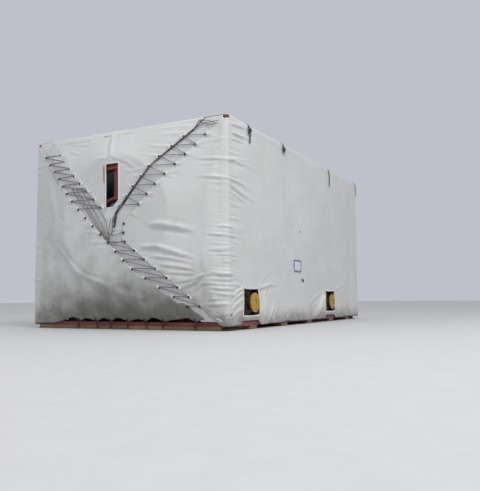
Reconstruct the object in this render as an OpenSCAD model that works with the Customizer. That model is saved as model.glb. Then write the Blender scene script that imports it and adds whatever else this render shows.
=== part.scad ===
// A heavy gas turbine as it travels to site: the machine on its saddles and skid,
// inside a light frame, under a stretched fabric cover that is laced shut over one end.
// Millimetres. The origin is on the floor, under the middle of the unit. X runs along
// the shaft, with the laced end at -X. Y is across and Z is up.

/* [Cover] */
// Length of the cover, without the bulge over the laced end
cover_l = 11100; // [10600:50:13000]
// Width of the cover
cover_w = 6500; // [6000:50:7200]
// Height of the roof above the floor
cover_h = 5500; // [5300:50:6200]
// Height of the lower hem above the floor
hem_z = 120; // [105:5:160]
// Thickness of the fabric as modelled
cloth_t = 12; // [8:1:16]
// How far the roof sags between its bars
roof_sag = 45; // [0:5:80]
// How far the laced end stands out over the machine
bulge = 450; // [200:10:600]
// How far the plain end stands out over the machine
far_bulge = 160; // [60:10:300]

/* [Lacing] */
// Height of the point where the three flaps meet
join_z = 2380; // [2300:10:2500]
// Sideways place of that point, towards the left flap
join_y = 200; // [100:10:300]
// Distance of the eyelets in from a flap's edge
eyelet_inset = 55; // [40:5:80]
// Height from one eyelet to the next
eyelet_rise = 240; // [200:10:280]
// Width between two laced edges, measured level
lace_gap = 550; // [400:10:600]
// Diameter of the lacing rope
rope_d = 22; // [12:1:32]

/* [Windows in the cover] */
// Width of the upright inspection slot in the end
slot_w = 430; // [300:10:500]
// Height of the inspection slot
slot_h = 1210; // [800:10:1300]
// Height of the slot's lower edge above the floor
slot_z = 3270; // [3150:10:3400]
// Width of a trunnion window
window_w = 900; // [700:10:1000]
// Height of a trunnion window
window_h = 740; // [600:10:800]
// Height of a trunnion window's lower edge above the floor
window_z = 340; // [300:10:380]
// How far a window's middle lies towards the laced end from its trunnion
window_shift = 180; // [140:5:185]
// Height of the notch that clears the saddle's foot, above the hem
notch_h = 110; // [60:10:130]

/* [Saddles and skid] */
// Distance from the laced end to the first saddle
saddle_x = 1430; // [1300:10:1600]
// Distance between the two saddles
saddle_pitch = 6350; // [6000:10:6600]
// Width of a saddle beam
saddle_w = 420; // [340:10:480]
// Diameter of a trunnion's end disc
trunnion_d = 520; // [400:10:560]
// Diameter of a trunnion's drum
drum_d = 400; // [300:10:440]
// How far a trunnion's disc stands out past the cover
trunnion_out = 60; // [20:5:120]
// Depth of a skid girder
girder_h = 300; // [240:10:320]
// Flange width of a skid girder
girder_w = 300; // [200:10:340]
// Distance between the middles of the two skid girders
girder_gauge = 3200; // [2800:50:3600]
// Thickness of the bearing timbers
timber_t = 100; // [80:5:120]

/* [Machine] */
// Height of the shaft above the floor
shaft_z = 2950; // [2900:10:3050]
// Radius of the intake ring
ring_r = 1750; // [1650:10:1900]
// Inner radius of the intake ring
ring_inner_r = 1390; // [1300:10:1500]
// Radius of the compressor casing
compressor_r = 1180; // [1000:10:1280]
// Radius of the combustor casing
combustor_r = 1850; // [1500:10:1880]
// Radius of the exhaust casing's end flange
exhaust_r = 1900; // [1700:10:1950]
// Wall of the casings
casing_t = 90; // [60:5:140]
// Number of burners
burners = 24; // [12:2:36]

/* [Frame] */
// Side of the square frame bars
bar = 100; // [80:5:120]
// Number of roof bars
roof_bars_n = 9; // [6:1:12]

/* [Hidden] */
$fn = 96;

// Gap left between pieces that rest on each other
seat = 0.3;
half_l = cover_l / 2;
half_w = cover_w / 2;
inner_w = half_w - cloth_t;
roof_z = cover_h - cloth_t;
front_x = -half_l + saddle_x;
rear_x = front_x + saddle_pitch;
skid_z = timber_t + girder_h;
saddle_top = window_z + window_h - 20;
saddle_end = inner_w - 160;
end_x = -half_l - bulge;
ring_front = end_x + 2 * (cloth_t + seat);
far_x = half_l + far_bulge;

// A point's share of the way from the shaft to the edge of the sheet
function edge_share(y, z) = max(
    abs(y) / inner_w,
    z > shaft_z ? (z - shaft_z) / (roof_z - shaft_z) : (shaft_z - z) / (shaft_z - hem_z)
);

// How far cloth stretched from a round rim to the edges of an end stands out at a point
function stand_out(y, z, out, r) =
    let (e = edge_share(y, z), q = norm([y, z - shaft_z]) / r)
    q <= 1 ? out : e >= 1 ? 0 : out * (1 - (1 - 1 / q) / (1 / e - 1 / q));

// The upright ridge in the right flap, as its place, half length, width inwards and share of the bulge
ridge_y = -2640;
ridge_z = 2290;
ridge_reach = 790;
ridge_w = 1300;
ridge_share = 0.55;
function ridge_out(y, z) =
    let (low = ridge_z - ridge_reach, high = ridge_z + ridge_reach)
    let (across = y < ridge_y ? (y + inner_w) / (ridge_y + inner_w) : 1 - (y - ridge_y) / ridge_w)
    let (along = z < low ? (z - hem_z) / (low - hem_z) : z > high ? (roof_z - z) / (roof_z - high) : 1)
    bulge * ridge_share * max(0, min(across, along));

// How far the laced end stands out
function end_out(y, z, k = 1) = max(stand_out(y, z, bulge, ring_r * k), ridge_out(y, z) * k);

// Levels of the grid on the end: every eyelet lies on one
levels = floor((roof_z - hem_z) / eyelet_rise);
level_rise = (roof_z - seat - hem_z) / levels;
function level_z(i) = hem_z + i * level_rise;
function level_of(z) = round((z - hem_z) / level_rise);
join_level = level_of(join_z);
meet_z = level_z(join_level);

// Edges of the three flaps, each as the y at a height
corner_in = 55;
apex_y = join_y - 505;
apex_top = join_z + 450;
neck_left = join_z + 810;
neck_right = join_z + 740;
left_edge = [
    [hem_z, -0.88 * inner_w], [650, -0.67 * inner_w], [1640, -0.19 * inner_w],
    [meet_z, join_y - 45], [roof_z, inner_w - corner_in]
];
right_edge = [
    [hem_z, -inner_w + 3.5 * corner_in], [570, -0.79 * inner_w],
    [meet_z, apex_y - 30], [apex_top, apex_y], [roof_z, -inner_w + corner_in]
];
top_left_edge = [
    [meet_z, join_y - 60], [neck_left, lookup(neck_left, left_edge) - lace_gap],
    [roof_z, lookup(roof_z, left_edge) - lace_gap]
];
top_right_edge = [
    [meet_z, join_y - 160], [neck_right, lookup(neck_right, right_edge) + lace_gap],
    [roof_z, lookup(roof_z, right_edge) + lace_gap]
];

// Front and back of a thin sheet over a grid of points, closed all round
module sheet(grid, lift) {
    n = len(grid);
    m = len(grid[0]);
    front = [for (row = grid) for (p = row) p];
    back = [for (row = grid) for (p = row) p + lift];
    k = n * m;
    skin = [for (i = [0:n - 2], j = [0:m - 2])
        let (a = i * m + j, b = a + 1, c = b + m, d = a + m)
        for (f = [[a, b, c], [a, c, d], [b + k, a + k, c + k], [c + k, a + k, d + k]]) f];
    sides = [for (i = [0:n - 2], s = [0, 1])
        let (a = i * m + s * (m - 1), d = a + m, p = s == 0 ? a : d, q = s == 0 ? d : a)
        for (f = [[p, q, a + k], s == 0 ? [d, d + k, a + k] : [d + k, d, a + k]]) f];
    ends = [for (j = [0:m - 2], s = [0, 1])
        let (a = s * (n - 1) * m + j, b = a + 1, p = s == 0 ? b : a, q = s == 0 ? a : b)
        for (f = [[p, q, a + k], s == 0 ? [b + k, b, a + k] : [b, b + k, a + k]]) f];
    polyhedron(concat(front, back), concat(skin, sides, ends));
}

// The y values across a flap at one level: the edge, the eyelets' line, then even steps
function across(right, left, columns) =
    let (inset = min(eyelet_inset, (left - right) / 4))
    concat(
        [right],
        [for (j = [0:columns]) right + inset + (left - right - 2 * inset) * j / columns],
        [left]
    );

// A piece of the laced end between two edges and two levels, some way in from the face
module flap(right_table, left_table, low, high, columns, inward = 0, k = 1, clear = 0) {
    grid = [for (i = [low:high])
        let (z = level_z(i) + (i == low ? clear : 0))
        [for (y = across(lookup(z, right_table), lookup(z, left_table), columns))
            [inward - half_l - end_out(y, z, k), y, z]]];
    sheet(grid, [cloth_t, 0, 0]);
}

// An edge table moved sideways
function shifted(table, by) = [for (p = table) [p[0], p[1] + by]];

// The upright edge at one side of the end
function wall_edge(side) = [[0, side * (inner_w - seat)], [cover_h, side * (inner_w - seat)]];

// The corners of the roof at the laced end, where the cover is open and the frame shows
corner_open = 140;
module open_corners() {
    for (s = [-1, 1])
        translate([-half_l - bulge / 2, s * half_w - corner_open, cover_h - corner_open])
            cube([bulge / 2 + corner_open, 2 * corner_open, 2 * corner_open]);
}

// The inspection slot, with one lower corner cut away
slot_y = 45;
module slot_outline() {
    cut = slot_w * 0.45;
    polygon([
        [-slot_w / 2 + cut, 0], [slot_w / 2, 0], [slot_w / 2, slot_h],
        [-slot_w / 2, slot_h], [-slot_w / 2, cut]
    ]);
}

module end_flap_top() {
    color("whitesmoke")
        difference() {
            flap(top_right_edge, top_left_edge, join_level, levels, 12);
            translate([end_x - 50, slot_y, slot_z])
                rotate([90, 0, 90])
                    linear_extrude(100 + bulge)
                        slot_outline();
        }
}

module end_flap_left() {
    color("whitesmoke")
        difference() {
            flap(left_edge, wall_edge(1), 0, levels, 12);
            open_corners();
        }
}

module end_flap_right() {
    color("whitesmoke")
        difference() {
            flap(wall_edge(-1), right_edge, 0, levels, 9);
            open_corners();
        }
}

// Strips of cloth behind the laced gaps, lying on the machine's own ring
lap = 130;
back_k = 0.95;
function tip_middle(z) = (lookup(z, top_left_edge) + lookup(z, top_right_edge)) / 2;
module end_backing() {
    inward = cloth_t + seat;
    left_strip = [
        [meet_z, tip_middle(meet_z) + 3], [neck_right, tip_middle(neck_right) + 3],
        [neck_left, lookup(neck_left, top_left_edge) - lap],
        [roof_z, lookup(roof_z, top_left_edge) - lap]
    ];
    right_strip = [
        [meet_z, tip_middle(meet_z) - 3], [neck_right, tip_middle(neck_right) - 3],
        [neck_left, lookup(neck_left, top_right_edge) + lap],
        [roof_z, lookup(roof_z, top_right_edge) + lap]
    ];
    color("gainsboro")
        difference() {
            union() {
                flap(
                    shifted(right_edge, -lap), shifted(left_edge, lap),
                    1, join_level, 4, inward, back_k
                );
                flap(
                    left_strip, shifted(left_edge, corner_in / 2),
                    join_level, levels, 4, inward, back_k, 3
                );
                flap(
                    shifted(right_edge, -corner_in / 2), right_strip,
                    join_level, levels, 4, inward, back_k, 3
                );
            }
            open_corners();
        }
}

// The plain end, one sheet drawn over the exhaust flange
far_rim = exhaust_r + 250;
module cover_far_end() {
    columns = 24;
    step = 2 * (inner_w - seat) / columns;
    grid = [for (i = [0:levels])
        [for (j = [0:columns])
            let (y = -inner_w + seat + j * step, z = level_z(i))
            [half_l - cloth_t + stand_out(y, z, far_bulge, far_rim), y, z]]];
    color("whitesmoke")
        sheet(grid, [cloth_t, 0, 0]);
}

// A length of rope through a list of points, with flat sides
module rope(points, d) {
    sides = 6;
    n = len(points);
    r = d / 2;
    rings = [for (i = [0:n - 1])
        let (t = points[min(i + 1, n - 1)] - points[max(i - 1, 0)])
        let (u = cross(t, [1, 0, 0]) / norm(cross(t, [1, 0, 0])))
        let (v = cross(t, u) / norm(cross(t, u)))
        for (s = [0:sides - 1])
            points[i] + r * (cos(360 * s / sides) * u + sin(360 * s / sides) * v)];
    walls = [for (i = [0:n - 2], s = [0:sides - 1])
        let (a = i * sides + s, b = i * sides + (s + 1) % sides)
        for (f = [[a, a + sides, b], [b, a + sides, b + sides]]) f];
    first = [for (s = [1:sides - 2]) [0, s, s + 1]];
    last = [for (s = [1:sides - 2]) (n - 1) * sides * [1, 1, 1] + [0, s + 1, s]];
    polyhedron(rings, concat(walls, first, last));
}

// Place of a rope's middle over the end: on the cloth where that is flat, a little clear elsewhere
function rope_x(y, z) =
    let (here = end_out(y, z), reach = 1.3 * level_rise)
    let (least = min([for (a = [-1, 1], b = [-1, 1]) end_out(y + a * reach, z + b * reach)]))
    -half_l - here - (here - least < 0.5 ? rope_d * 0.433 + seat : rope_d * 0.62 + 5);

// The point halfway between two eyelets, lifted clear of the cloth's edges
function between(p, q) =
    let (m = (p + q) / 2)
    [min(m.x, rope_x(m.y, m.z)) - 0.6 * rope_d, m.y, m.z];

// The points of a zigzag lacing between two edges, which turns upwards at every eyelet
lace_turn = 30;
function zigzag(edge_a, edge_b, low, high) = [for (i = [low:high])
    let (z = level_z(i), z2 = level_z(min(i + 1, high)), up = [0, 0, lace_turn])
    let (a = lookup(z, edge_a) + eyelet_inset, b = lookup(z, edge_b) - eyelet_inset)
    let (c = lookup(z2, edge_a) + eyelet_inset)
    let (pa = [rope_x(a, z), a, z], pb = [rope_x(b, z), b, z], pc = [rope_x(c, z2), c, z2])
    for (p = i < high
        ? [pa - up, pa + up, between(pa + up, pb - up), pb - up, pb + up, between(pb + up, pc - up)]
        : [pa - up, pa + up, between(pa + up, pb - up), pb - up]) p];

module lacing_upper_left() {
    color("dimgray")
        rope(zigzag(left_edge, top_left_edge, level_of(neck_left), levels - 2), rope_d);
}

module lacing_upper_right() {
    color("dimgray")
        rope(zigzag(top_right_edge, right_edge, level_of(neck_right), levels - 2), rope_d);
}

module lacing_lower_right() {
    color("dimgray")
        rope(zigzag(left_edge, right_edge, 2, join_level), rope_d);
}

// Sideways places of the lashings that hold the hem down
lash_ys = [1450, 850, 350, -250, -800, -1400, -2350];
module hem_lashings() {
    top = level_z(1);
    color("dimgray")
        for (y = lash_ys) {
            upper = [rope_x(y, top), y, top];
            lower = [-half_l - sill_out - rope_d * 0.433 - seat, y, timber_t * 0.5];
            rope([upper, lower, lower - [0, 0, timber_t * 0.3]], rope_d);
        }
}

// Timbers that the skid bears on
sill_w = 180;
sill_out = 20;
module bearing_timbers() {
    gap = (rear_x - front_x) / 3;
    color("saddlebrown")
        for (x = [front_x, front_x + gap, front_x + 2 * gap, rear_x, rear_x + 0.9 * gap])
            translate([x - saddle_w / 2, -inner_w, 0])
                cube([saddle_w, 2 * inner_w, timber_t]);
}

module end_sill(side) {
    color("saddlebrown")
        translate([side * (half_l + sill_out - sill_w / 2), 0, timber_t / 2])
            cube([sill_w, 2 * half_w * 0.93, timber_t], center = true);
}

// An I section girder with web stiffeners
web_t = 24;
flange_t = 30;
girder_end = 320;
module girder(y) {
    length = 2 * (half_l - girder_end);
    h = girder_h / 2;
    w = girder_w / 2;
    ribs = 11;
    color("firebrick")
        translate([0, y, timber_t + h]) {
            rotate([90, 0, 90])
                translate([0, 0, -length / 2])
                    linear_extrude(length)
                        polygon([
                            [-w, -h], [w, -h], [w, flange_t - h], [web_t / 2, flange_t - h],
                            [web_t / 2, h - flange_t], [w, h - flange_t], [w, h], [-w, h],
                            [-w, h - flange_t], [-web_t / 2, h - flange_t],
                            [-web_t / 2, flange_t - h], [-w, flange_t - h]
                        ]);
            for (i = [0:ribs - 1])
                translate([(i / (ribs - 1) - 0.5) * (length - web_t), sign(y) * w / 2, 0])
                    cube([web_t, w, 2 * (h - flange_t)], center = true);
        }
}

module skid_cross_beams() {
    gap = (rear_x - front_x) / 3;
    length = girder_gauge - web_t;
    color("firebrick")
        for (x = [front_x + 0.5 * gap, front_x + 1.5 * gap, front_x + 2.5 * gap, rear_x + gap / 2])
            translate([x, 0, timber_t + girder_h / 2])
                cube([saddle_w / 2, length, girder_h - 2 * flange_t - 40], center = true);
}

// A transverse box beam with a seat for a casing, and legs that carry its ends
leg_w = 420;
module saddle_beam(x, casing_r) {
    color("sienna")
        difference() {
            union() {
                translate([x - saddle_w / 2, -saddle_end, skid_z])
                    cube([saddle_w, 2 * saddle_end, saddle_top - skid_z]);
                for (s = [-1, 1])
                    translate([x, s * (saddle_end - leg_w / 2), (timber_t + skid_z) / 2])
                        cube([saddle_w, leg_w, skid_z - timber_t], center = true);
            }
            translate([x, 0, shaft_z])
                rotate([0, 90, 0])
                    cylinder(h = saddle_w + 2, r = casing_r + seat, center = true);
        }
}

// Two plates that stand on a saddle beam and hold a casing from below
module saddle_cradle(x, casing_r) {
    plate_t = 70;
    top = shaft_z - casing_r * 0.45;
    width = casing_r * 0.98;
    color("sienna")
        difference() {
            for (s = [-1, 1])
                translate([x + s * (saddle_w / 2 - plate_t), 0, (saddle_top + top) / 2])
                    cube([plate_t, 2 * width, top - saddle_top], center = true);
            translate([x, 0, shaft_z])
                rotate([0, 90, 0])
                    cylinder(h = saddle_w + 2, r = casing_r + seat, center = true);
        }
}

// A round post on the end of a saddle beam, with a keeper disc on its outer end
disc_t = 50;
module trunnion(x, side) {
    z = window_z + window_h / 2 - 10;
    face_y = half_w + trunnion_out;
    color("goldenrod")
        translate([x, side * saddle_end, z])
            rotate([-side * 90, 0, 0])
                difference() {
                    union() {
                        cylinder(h = 30, d = trunnion_d * 1.1);
                        cylinder(h = face_y - saddle_end, d = drum_d);
                        translate([0, 0, face_y - saddle_end - disc_t])
                            cylinder(h = disc_t, d = trunnion_d);
                    }
                    translate([0, 0, face_y - saddle_end - 18])
                        cylinder(h = 20, d = drum_d * 0.5);
                }
}

// A body turned about the shaft, from pairs of radius and x
module turned(points) {
    translate([0, 0, shaft_z])
        rotate([0, 90, 0])
            rotate_extrude()
                polygon(points);
}

ring_t = 260;
ring_lip = 90;
ring_step = 110;
ring_bevel = 330;
sleeve_r = 620;
sleeve_t = 60;
strut_in = 75;
strut_w = 120;
ring_back = ring_front + ring_t;
module intake_ring() {
    struts = 8;
    color("firebrick") {
        turned([
            [ring_inner_r, ring_front], [ring_r - ring_bevel, ring_front],
            [ring_r, ring_front + ring_lip], [ring_r, ring_front + 2 * ring_lip],
            [ring_r - ring_step, ring_front + 2 * ring_lip], [ring_r - ring_step, ring_back],
            [ring_inner_r, ring_back]
        ]);
        turned([
            [sleeve_r - sleeve_t, ring_front + sleeve_t], [sleeve_r, ring_front + sleeve_t],
            [sleeve_r, ring_back], [sleeve_r - sleeve_t, ring_back]
        ]);
        for (i = [0:struts - 1])
            translate([ring_front, 0, shaft_z])
                rotate([360 * i / struts, 0, 0])
                    translate([strut_in, -strut_w / 2, sleeve_r - sleeve_t / 2])
                        cube([ring_t - 2 * strut_in, strut_w, ring_inner_r - sleeve_r + sleeve_t]);
    }
}

housing_l = 700;
nose_l = 200;
module bearing_housing() {
    r = sleeve_r - sleeve_t - seat;
    front = ring_front + sleeve_t;
    nose = [for (a = [0:10:90]) [r * sin(a), front + nose_l * (1 - cos(a))]];
    color("slategray")
        turned(concat(nose, [[r, ring_back + housing_l], [0, ring_back + housing_l]]));
}

// The mouth that narrows from the ring to the compressor
intake_l = 950;
intake_end = -half_l + intake_l;
module intake_casing() {
    r0 = ring_inner_r + casing_t;
    wall = [for (i = [0:12])
        let (s = i / 12)
        [r0 + (compressor_r - r0) * (1 - pow(1 - s, 2)), ring_back + (intake_end - ring_back) * s]];
    inside = [for (i = [12:-1:0]) wall[i] - [casing_t, 0]];
    color("slategray")
        turned(concat(wall, inside));
}

// A flange round a casing, as a step in its outline
function collar(r, x, width, rise) = [[r, x], [r + rise, x], [r + rise, x + width], [r, x + width]];

turbine_tail = 310;
turbine_l = 2000;
combustor_l = 2250;
turbine_end = rear_x + saddle_w / 2 + turbine_tail;
combustor_end = turbine_end - turbine_l;
combustor_start = combustor_end - combustor_l;
flange_w = 70;
flange_rise = 90;
split_w = 110;
module compressor_casing() {
    ribs = 5;
    rib_w = 40;
    length = combustor_start - intake_end;
    step = (length - 2 * flange_w) / ribs;
    outline = concat(
        [[0, intake_end]],
        collar(compressor_r, intake_end, flange_w, flange_rise),
        [for (i = [1:ribs - 1])
            for (p = collar(compressor_r, intake_end + flange_w + i * step, rib_w, flange_rise / 2)) p],
        collar(compressor_r, combustor_start - flange_w, flange_w, flange_rise),
        [[0, combustor_start]]
    );
    color("lightsteelblue") {
        turned(outline);
        for (s = [-1, 1])
            translate([(intake_end + combustor_start) / 2, s * (compressor_r + split_w / 6), shaft_z])
                cube([length - flange_w, 2 * flange_rise, split_w], center = true);
    }
}

bend = 300;
band_w = 120;
module combustor_casing() {
    r = combustor_r;
    front = [for (a = [0:15:90]) [r - bend + bend * sin(a), combustor_start + bend * (1 - cos(a))]];
    rear = [for (a = [0:15:90]) [r - bend + bend * cos(a), combustor_end - bend * (1 - sin(a))]];
    color("lightsteelblue")
        turned(concat(
            [[0, combustor_start]], front,
            collar(r, (combustor_start + combustor_end - band_w) / 2, band_w, flange_w),
            rear, [[0, combustor_end]]
        ));
}

burner_l = 330;
burner_d = 180;
burner_cap = 60;
module burners_set() {
    pitch_r = (compressor_r + combustor_r) / 2;
    d = min(burner_d, 2 * PI * pitch_r / burners * 0.6);
    color("gainsboro")
        for (i = [0:burners - 1])
            translate([0, 0, shaft_z])
                rotate([360 * (i + 0.5) / burners, 0, 0])
                    translate([combustor_start - seat - burner_l, 0, pitch_r])
                        rotate([0, 90, 0]) {
                            cylinder(h = burner_l, d = d, $fn = 32);
                            cylinder(h = burner_cap, d = d * 1.35, $fn = 32);
                        }
}

turbine_r = 1560;
rim_flange = 100;
rim_flange_w = 90;
module turbine_casing() {
    color("lightsteelblue")
        turned(concat(
            [[0, combustor_end + seat]],
            collar(turbine_r, combustor_end + seat, rim_flange_w, rim_flange),
            collar(turbine_r, turbine_end - rim_flange_w, rim_flange_w, rim_flange),
            [[0, turbine_end]]
        ));
}

// The diffuser behind the turbine, open towards the plain end
module exhaust_casing() {
    start = turbine_end + seat;
    end = far_x - cloth_t - seat;
    r0 = turbine_r - rim_flange / 2;
    r1 = exhaust_r - rim_flange;
    color("silver")
        turned([
            [r0 - casing_t, start], [r0 + rim_flange, start], [r0 + rim_flange, start + rim_flange_w],
            [r0, start + rim_flange_w], [r1, end - rim_flange_w], [exhaust_r, end - rim_flange_w],
            [exhaust_r, end], [r1 - casing_t, end]
        ]);
}

hub_r = 620;
hub_l = 1500;
shaft_r = 300;
shaft_l = 2300;
coupling_r = 460;
coupling_t = 120;
module rotor_coupling() {
    start = turbine_end + seat;
    taper = (hub_r - shaft_r) / 2;
    color("dimgray")
        turned([
            [0, start], [hub_r, start], [shaft_r + taper / 2, start + hub_l],
            [shaft_r, start + hub_l + taper], [shaft_r, start + shaft_l],
            [coupling_r, start + shaft_l], [coupling_r, start + shaft_l + coupling_t],
            [0, start + shaft_l + coupling_t]
        ]);
}

// Bars of the frame that holds the cover up
window_near = front_x - window_shift;
window_far = rear_x - window_shift;
bar_y = inner_w - seat - bar / 2;
bar_end = half_l - 2 * (cloth_t + seat) - bar / 2;
beside = window_w / 2 + bar;
post_xs = [
    -bar_end, window_near + beside, (window_near + window_far) / 2,
    window_far - beside, window_far + beside, (window_far + bar_end) / 2 + beside / 2, bar_end
];
rail_top = roof_z - seat;
module frame_posts(side) {
    low = timber_t + bar;
    color("firebrick")
        for (x = post_xs)
            translate([x, side * bar_y, (low + rail_top - bar) / 2])
                cube([bar, bar, rail_top - bar - low], center = true);
}

module frame_rails() {
    color("firebrick")
        for (z = [timber_t + bar / 2, rail_top - bar / 2]) {
            for (s = [-1, 1]) {
                translate([0, s * bar_y, z])
                    cube([2 * bar_end + bar, bar, bar], center = true);
                translate([s * bar_end, 0, z])
                    cube([bar, 2 * bar_y, bar], center = true);
            }
        }
}

roof_pitch = 2 * bar_end / (roof_bars_n + 1);
module roof_bars() {
    color("firebrick")
        for (i = [1:roof_bars_n])
            translate([-bar_end + i * roof_pitch, 0, rail_top - bar / 2])
                cube([bar, 2 * bar_y - bar, bar], center = true);
}

// The roof sags a little between its bars and is straight along its edges
module cover_roof() {
    clear = roof_pitch - bar - 4;
    shares = [0, 0.3, 0.7, 1];
    stations = [for (i = [0:roof_bars_n], s = shares)
        [-bar_end + i * roof_pitch + (roof_pitch - clear) / 2 + s * clear, 4 * s * (1 - s)]];
    rows = concat([[-half_l, 0]], stations, [[half_l, 0]]);
    grid = [for (r = rows) [for (j = [-4:4])
        let (across = j / 4)
        [r[0], across * half_w, cover_h - roof_sag * r[1] * (1 - across * across)]]];
    color("whitesmoke")
        difference() {
            sheet([for (row = grid) [for (p = row) p - [0, 0, cloth_t]]], [0, 0, cloth_t]);
            open_corners();
        }
}

// A long side, with its two trunnion windows and the notches in the hem below them
module cover_side(side) {
    color("whitesmoke")
        translate([0, side * (half_w - cloth_t / 2), 0])
            rotate([90, 0, 0])
                linear_extrude(cloth_t, center = true)
                    difference() {
                        translate([-half_l, hem_z])
                            square([cover_l, roof_z - seat - hem_z]);
                        translate([-half_l - 1, cover_h - corner_open])
                            square(corner_open + 1);
                        for (x = [window_near, window_far]) {
                            translate([x - window_w / 2, window_z])
                                square([window_w, window_h]);
                            translate([x - window_w * 0.55, hem_z - 1])
                                square([window_w * 1.1, notch_h + 1]);
                        }
                    }
}

// Webbing over the roof, with its ends hanging down both sides
tie_places = [1150, 3500, 7700, 10980];
tie_w = 70;
tie_t = 8;
tie_drop = 430;
module roof_ties() {
    y0 = half_w + seat;
    z0 = cover_h + seat;
    color("darkslategray")
        for (x = tie_places)
            translate([x - half_l - tie_w / 2, 0, 0])
                rotate([90, 0, 90])
                    linear_extrude(tie_w)
                        polygon([
                            [-y0, z0], [y0, z0], [y0, z0 - tie_drop], [y0 + tie_t, z0 - tie_drop],
                            [y0 + tie_t, z0 + tie_t], [-y0 - tie_t, z0 + tie_t],
                            [-y0 - tie_t, z0 - tie_drop], [-y0, z0 - tie_drop]
                        ]);
}

// A blank pouch for papers on the long side
pouch_w = 600;
pouch_h = 380;
pouch_x = 4550;
pouch_z = 1820;
module document_pouch() {
    rim = 45;
    color("steelblue")
        translate([-half_l + pouch_x, -half_w - seat, pouch_z])
            rotate([90, 0, 0])
                difference() {
                    linear_extrude(8)
                        square([pouch_w, pouch_h], center = true);
                    translate([0, 0, 5])
                        linear_extrude(4)
                            square([pouch_w - 2 * rim, pouch_h - 2 * rim], center = true);
                }
}

bearing_timbers();
end_sill(-1);  // end_sill_near
end_sill(1);  // end_sill_far
girder(girder_gauge / 2);  // skid_girder_left
girder(-girder_gauge / 2);  // skid_girder_right
skid_cross_beams();
saddle_beam(front_x, compressor_r);  // saddle_beam_front
saddle_beam(rear_x, turbine_r);  // saddle_beam_rear
saddle_cradle(front_x, compressor_r);  // saddle_cradle_front
saddle_cradle(rear_x, turbine_r);  // saddle_cradle_rear
trunnion(front_x, 1);  // trunnion_front_left
trunnion(front_x, -1);  // trunnion_front_right
trunnion(rear_x, 1);  // trunnion_rear_left
trunnion(rear_x, -1);  // trunnion_rear_right
intake_ring();
bearing_housing();
intake_casing();
compressor_casing();
combustor_casing();
burners_set();
turbine_casing();
exhaust_casing();
rotor_coupling();
frame_posts(1);  // frame_posts_left
frame_posts(-1);  // frame_posts_right
frame_rails();
roof_bars();
cover_roof();
cover_side(1);  // cover_side_left
cover_side(-1);  // cover_side_right
end_flap_top();
end_flap_left();
end_flap_right();
end_backing();
cover_far_end();
lacing_upper_left();
lacing_upper_right();
lacing_lower_right();
hem_lashings();
roof_ties();
document_pouch();
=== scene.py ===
# %% [markdown]
# # A laced cover over a heavy machine
# The object is a gas turbine block as it travels: a machine on saddles and a skid, inside a light frame,
# under a white coated cloth that ropes draw shut over one end.
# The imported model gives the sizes. Cloth, ropes, straps and finishes are made here, in metres.

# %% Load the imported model
import math
import bpy
import numpy as np
from mathutils import Matrix, Vector
from mathutils.geometry import delaunay_2d_cdt
from mathutils.kdtree import KDTree


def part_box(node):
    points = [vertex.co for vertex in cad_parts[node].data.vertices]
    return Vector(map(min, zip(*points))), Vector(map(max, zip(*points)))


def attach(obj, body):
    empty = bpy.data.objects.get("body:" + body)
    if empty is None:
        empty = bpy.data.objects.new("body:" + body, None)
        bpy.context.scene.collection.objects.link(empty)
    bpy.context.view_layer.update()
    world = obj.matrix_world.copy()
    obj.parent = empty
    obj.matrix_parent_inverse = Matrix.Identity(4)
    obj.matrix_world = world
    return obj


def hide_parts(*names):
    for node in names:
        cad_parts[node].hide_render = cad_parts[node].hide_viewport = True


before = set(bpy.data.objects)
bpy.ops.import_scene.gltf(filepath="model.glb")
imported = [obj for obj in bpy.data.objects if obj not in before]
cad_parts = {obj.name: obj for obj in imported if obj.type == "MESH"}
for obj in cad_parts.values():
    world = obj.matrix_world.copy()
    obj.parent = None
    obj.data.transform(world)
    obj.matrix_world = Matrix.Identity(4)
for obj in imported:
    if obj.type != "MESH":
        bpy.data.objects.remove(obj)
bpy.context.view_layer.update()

# %% [markdown]
# ## Sizes that every piece shares
# A cover maker starts from the frame that the cloth has to go round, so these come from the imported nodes
# wherever a node's box gives them. How far the laced end stands out, the cloth's thickness and its distance
# from the frame are typed. The cloth lies a little outside the modelled sheets, which keeps the frame's
# corners from cutting through it where it is rounded.

# %% Sizes of the cover
side_low, side_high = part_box("cover_side_right")
HALF_L, HALF_W, HEM_Z = side_high.x, -side_low.y, side_low.z
ROOF_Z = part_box("cover_roof")[1].z
SHAFT_Z = sum(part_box("bearing_housing")[i].z for i in (0, 1)) / 2
RIM_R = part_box("intake_ring")[1].y
BULGE = 0.45
FAR_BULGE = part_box("cover_far_end")[1].x - HALF_L
FAR_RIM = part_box("exhaust_casing")[1].y + 0.25
CLEAR = 0.012
CLOTH_T = 0.005
LEVELS = 22
TOP_GAP = 0.0123
RISE = (ROOF_Z - TOP_GAP - HEM_Z) / LEVELS
print("cover half length, half width, roof", round(HALF_L, 3), round(HALF_W, 3), round(ROOF_Z, 3))

# %% [markdown]
# ## Stage, camera and light
# A pale floor and a soft overcast light suit white cloth: its folds show by small changes of slope, and a
# hard lamp would burn them out. The world is brighter overhead than at the horizon, as an overcast sky is,
# and the camera sees a plain backdrop colour instead of it.

# %% Shader helpers
TREE = None


def work_on(tree):
    """Makes a tree the one that every helper below adds its nodes to."""
    global TREE
    TREE = tree
    tree.nodes.clear()


def fill(made, inputs):
    """Sets the inputs that are numbers or colours, and links those that are sockets."""
    for key, value in inputs.items():
        if isinstance(value, bpy.types.NodeSocket):
            TREE.links.new(value, made.inputs[key])
        else:
            made.inputs[key].default_value = value


def node(kind, inputs=None, **settings):
    made = TREE.nodes.new("ShaderNode" + kind)
    for name, value in settings.items():
        setattr(made, name, value)
    fill(made, inputs or {})
    return made


def math_node(operation, a, b=0.0, clamp=False):
    return node("Math", {0: a, 1: b}, operation=operation, use_clamp=clamp).outputs[0]


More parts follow.
